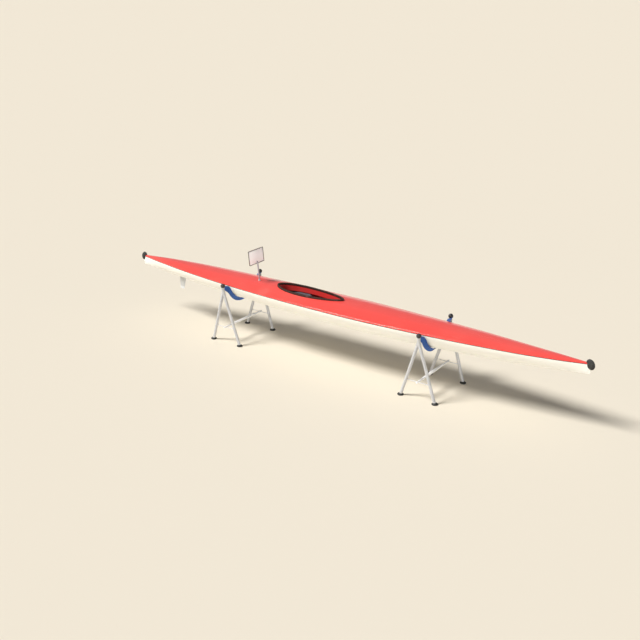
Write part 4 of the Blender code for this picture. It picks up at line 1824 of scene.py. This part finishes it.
    def _build_spreader(self) -> None:
        """A round bar that rests on both braces, with a thicker sleeve in the middle."""
        half = abs(self.leg_point(Side.PORT, End.BOW, self.brace_z).y) + self.spreader_overhang
        thin, thick, edge = self.spreader_radius, self.sleeve_radius, 0.0015
        first = half - self.sleeve_half
        profile = [(0.0, 0.0), (thin - edge, 0.0), (thin, edge), (thin, first), (thick - edge, first), (thick, first + edge)]
        profile += [(radius, 2 * half - travel) for radius, travel in reversed(profile)]
        start, along = Vector((self.x, -half, self.brace_z)), Vector((0, 1, 0))
        # Its finish is the paler copy of the tube's: painted light on the bar.
        bar = object_from(
            f"{self.name}_spreader_bar", lathe(profile, start, along, 36), self.finishes.tube_painted_lit, 40.0
        )
        place_piece(bar, stands_for=[f"{self.name}_spreader"])

    def _rivet_spots(self, side: Side) -> list[tuple[Vector, Vector]]:
        """Where the rivets of one side go: on the braces' ends and where the two tubes meet under the head."""
        out = Vector((0, side.value, 0))
        places = [self.leg_point(side, end, self.brace_z) for end in End]
        places.append(self.leg_point(side, End.BOW, self.meeting_z + self.bend))
        return [(place + out * (self.leg_radius - GAP), out) for place in places]


@dataclass
class Sling:
    """The strap between a stand's heads: tight along its fore edge and slack along its aft edge."""

    stand: SlingStand
    width: float = 0.064
    end_reach: tuple[float, float] = (0.018, 0.050)
    taper: float = 0.12
    thickness: float = 0.0028
    cad_thickness: float = 0.004
    crown: float = 0.012
    crown_reach: float = 0.15
    samples: int = 145
    across: int = 13
    end_inset: float = 0.012
    fore_end_drop: float = 0.005
    slack: tuple[float, float, float] = (0.014, 0.05, 0.13)
    fore_edge: tuple[tuple[float, float], ...] = (
        # distance from the middle, height above the strap's bed
        (0.000, 0.000),
        (0.060, 0.011),
        (0.112, 0.037),
        (0.150, 0.061),
        (0.180, 0.093),
        (0.205, 0.142),
        (0.232, 0.178),
    )
    aft_edge: tuple[tuple[float, float], ...] = (
        # place from starboard to port, drop below the heads
        (-0.288, 0.048),
        (-0.232, 0.080),
        (-0.188, 0.116),
        (-0.154, 0.157),
        (-0.117, 0.196),
        (-0.062, 0.231),
        (-0.005, 0.247),
        (0.050, 0.251),
        (0.095, 0.243),
        (0.135, 0.215),
        (0.170, 0.172),
        (0.205, 0.122),
        (0.240, 0.075),
        (0.288, 0.030),
    )

    def build(self) -> None:
        stand = self.stand
        rows = self._middle_rows()
        normals = self._normals(rows)
        strap = self._strap(rows, normals)
        stitches = self._stitches(rows, normals)
        place_piece(strap, stands_for=[f"{stand.name}_sling"])
        place_piece(stitches)
        [stand.node("knob", side) for side in Side]

    def _edge(self, ys: np.ndarray, zs: np.ndarray) -> list[Vector]:
        """One edge from starboard head to port head, sampled evenly along its length."""
        travel = np.concatenate([[0.0], np.cumsum(np.hypot(np.diff(ys), np.diff(zs)))])
        places = np.linspace(0, travel[-1], self.samples)
        return [Vector((0, smooth_curve(s, travel, ys), smooth_curve(s, travel, zs))) for s in places]

    def _middle_rows(self) -> list[list[Vector]]:
        """Points across the strap, aft to fore, at every step along it."""
        stand, form = self.stand, self.stand.form
        keel = form.keel_height(stand.x)
        bed = keel - GAP - self.cad_thickness / 2
        end_out = stand.head_y - self.end_inset
        half = [*((y, bed + z) for y, z in self.fore_edge), (end_out, stand.head_z - self.fore_end_drop)]
        both = np.array([*((-y, z) for y, z in reversed(half[1:])), *half])
        fore = self._edge(both[:, 0], both[:, 1])
        low = np.array(self.aft_edge)
        extra, centre, reach = self.slack
        droop = extra * np.maximum(0.0, 1 - ((low[:, 0] - centre) / reach) ** 2) * (stand.end is End.BOW)
        aft = self._edge(low[:, 0], stand.head_z - low[:, 1] - droop)
        rows = []
        for fore_point, aft_point in zip(fore, aft):
            near_head = min(1.0, (end_out - abs(fore_point.y)) / self.taper)
            end_reach = self.end_reach[0 if fore_point.y < 0 else 1]
            half_width = (end_reach + (self.width - end_reach) * near_head) / 2
            middle = max(0.0, 1 - abs(fore_point.y) / self.crown_reach) ** 0.5
            slope = (form.keel_height(stand.x + half_width) - keel) * near_head
            row = []
            for k in range(self.across):
                share = 2 * k / (self.across - 1) - 1
                flat = (aft_point * (1 - share) + fore_point * (1 + share)) / 2
                lift = self.crown * middle * (1 - share * share) + slope * max(share, 0.0) ** 2
                row.append(Vector((stand.x + half_width * share, flat.y, flat.z + lift)))
            rows.append(row)
        return rows

    def _normals(self, rows: list[list[Vector]]) -> list[list[Vector]]:
        """The strap's upward direction at every point."""
        normals = []
        for i, row in enumerate(rows):
            before, after = rows[max(i - 1, 0)], rows[min(i + 1, len(rows) - 1)]
            line = []
            for k in range(len(row)):
                across = row[min(k + 1, len(row) - 1)] - row[max(k - 1, 0)]
                line.append(across.cross(after[k] - before[k]).normalized())
            normals.append(line)
        return normals

    def _strap(self, rows: list[list[Vector]], normals: list[list[Vector]]) -> bpy.types.Object:
        """The strap as a closed skin with its own map in metres."""
        half = self.thickness / 2
        rings = []
        for row, line in zip(rows, normals):
            upper = [point + normal * half for point, normal in zip(row, line)]
            lower = [point - normal * half for point, normal in zip(row, line)]
            rings.append([tuple(point) for point in upper + lower[::-1]])
        bm = loft(rings)
        layer = bm.loops.layers.uv.new("strap")
        # Marks the upper side, which the finish darkens as painted shade.
        carrying = bm.verts.layers.float.new("carrying")
        travel = [0.0]
        for a, b in zip(rows, rows[1:]):
            travel.append(travel[-1] + (b[self.across // 2] - a[self.across // 2]).length)
        count = 2 * self.across
        bm.verts.index_update()
        for vert in bm.verts:
            vert[carrying] = 1.0 if vert.index % count < self.across else 0.0
        for face in bm.faces:
            for loop in face.loops:
                row, k = divmod(loop.vert.index, count)
                column = k if k < self.across else count - 1 - k
                loop[layer].uv = (self.width * column / (self.across - 1), travel[row])
        return object_from(f"{self.stand.name}_strap", bm, self.stand.finishes.webbing, 60.0)

    def _stitches(self, rows: list[list[Vector]], normals: list[list[Vector]]) -> bpy.types.Object:
        """Two long rows near the edges and short rows where each end is sewn back on itself."""
        paths = []
        half = self.thickness / 2 + 0.0001
        for sign in (1, -1):
            for k in (1, self.across - 2):
                paths.append([row[k] + line[k] * sign * half for row, line in zip(rows, normals)])
            for start in (10, 14, len(rows) - 15, len(rows) - 11):
                row, line = rows[start], normals[start]
                paths.append([point + normal * sign * half for point, normal in zip(row[1:-1], line[1:-1])])
        return Stitching().run(f"{self.stand.name}_stitches", paths, self.stand.finishes.thread)


# The studio


@dataclass
class Studio:
    """A pale floor, a soft key light from the left and a pale surround."""

    floor_colour: Colour = (0.80, 0.727, 0.60)
    floor_size: float = 4000.0
    key_strength: float = 3.62
    key_angle: float = 18.0
    key_from: tuple[float, float, float] = (-0.60, -0.575, 1.0)
    overhead: Colour = (0.192, 0.195, 0.207)
    low_back: Colour = (0.8, 0.79, 0.77)
    low_front: Colour = (4.0, 3.97, 3.9)
    low_height: float = 0.15
    front: tuple[float, float] = (0.57, -0.82)
    camera_at: tuple[float, float, float] = (4.672, -6.712, 3.635)
    camera_turn: tuple[float, float, float] = (68.58, 0.0, 35.64)
    lens: float = 50.0
    sensor: float = 36.0

    def build(self) -> None:
        """Builds the floor, the lights and the camera."""
        self._build_floor()
        self._build_key()
        self._build_sky()
        self._build_camera()

    def _build_floor(self) -> None:
        """A plain pale floor."""
        recipe = Recipe("pale floor")
        recipe.set(Base_Color=self.floor_colour, Roughness=1.0, Specular_IOR_Level=0.0)
        bm = bmesh.new()
        bmesh.ops.create_grid(bm, x_segments=1, y_segments=1, size=self.floor_size / 2)
        floor = object_from("studio_floor", bm, recipe.material)

    def _build_key(self) -> None:
        """A large soft light from the left of the camera."""
        light = bpy.data.lights.new("key", "SUN")
        light.energy = self.key_strength
        light.angle = radians(self.key_angle)
        key = bpy.data.objects.new("key", light)
        key.rotation_euler = Vector(self.key_from).to_track_quat("Z", "Y").to_euler()
        bpy.context.scene.collection.objects.link(key)

    def _build_sky(self) -> None:
        """A surround that is bright and low on the camera's side and darker overhead."""
        world = bpy.data.worlds.new("surround")
        world.use_nodes = True
        graph = Graph(world.node_tree)
        way = graph.node("ShaderNodeTexCoord").outputs["Generated"]
        across, ahead, up = (Term(graph, out) for out in graph.node("ShaderNodeSeparateXYZ", None, Vector=way).outputs)
        facing = (across * self.front[0] + ahead * self.front[1]).between(-0.5, 0.8)
        low = self._mixed(graph, facing, self.low_back, self.low_front)
        colour = self._mixed(graph, up.between(self.low_height * 0.6, self.low_height), low, self.overhead)
        graph.fill(world.node_tree.nodes["Background"].inputs[0], colour)
        bpy.context.scene.world = world

    @staticmethod
    def _mixed(graph: Graph, share: Term, first: object, second: object) -> bpy.types.NodeSocket:
        """Mixes two colours of the surround.

        Args:
            graph: the surround's nodes.
            share: how much of the second colour shows.
            first: a colour or a link.
            second: a colour or a link.

        Returns:
            The mixed colour.
        """
        mix = graph.node("ShaderNodeMix", {"data_type": "RGBA"}, i0=share)
        graph.fill(mix.inputs[6], first)
        graph.fill(mix.inputs[7], second)
        return mix.outputs[2]

    def _build_camera(self) -> None:
        """The camera at the photograph's angle."""
        data = bpy.data.cameras.new("camera")
        data.lens, data.sensor_width = self.lens, self.sensor
        camera = bpy.data.objects.new("camera", data)
        camera.location = self.camera_at
        camera.rotation_euler = [radians(a) for a in self.camera_turn]
        bpy.context.scene.collection.objects.link(camera)
        bpy.context.scene.camera = camera
        bpy.context.scene.view_settings.view_transform = "Standard"


def main() -> None:
    """Builds the studio and every sub-assembly in order."""
    logging.basicConfig(level=logging.INFO, format="%(message)s")
    form, cockpit, finishes = HullForm(), CockpitForm(), Finishes()
    Studio().build()
    Shell(form, cockpit, finishes).build()
    Cockpit(form, cockpit, finishes).build()
    Seat(finishes).build()
    FootControls(finishes).build()
    Rudder(finishes).build()
    EndBalls(form, finishes).build()
    NumberPlate(form, finishes).build()
    for end in End:
        SlingStand(end, form, finishes).build()


if __name__ == "__main__":
    main()
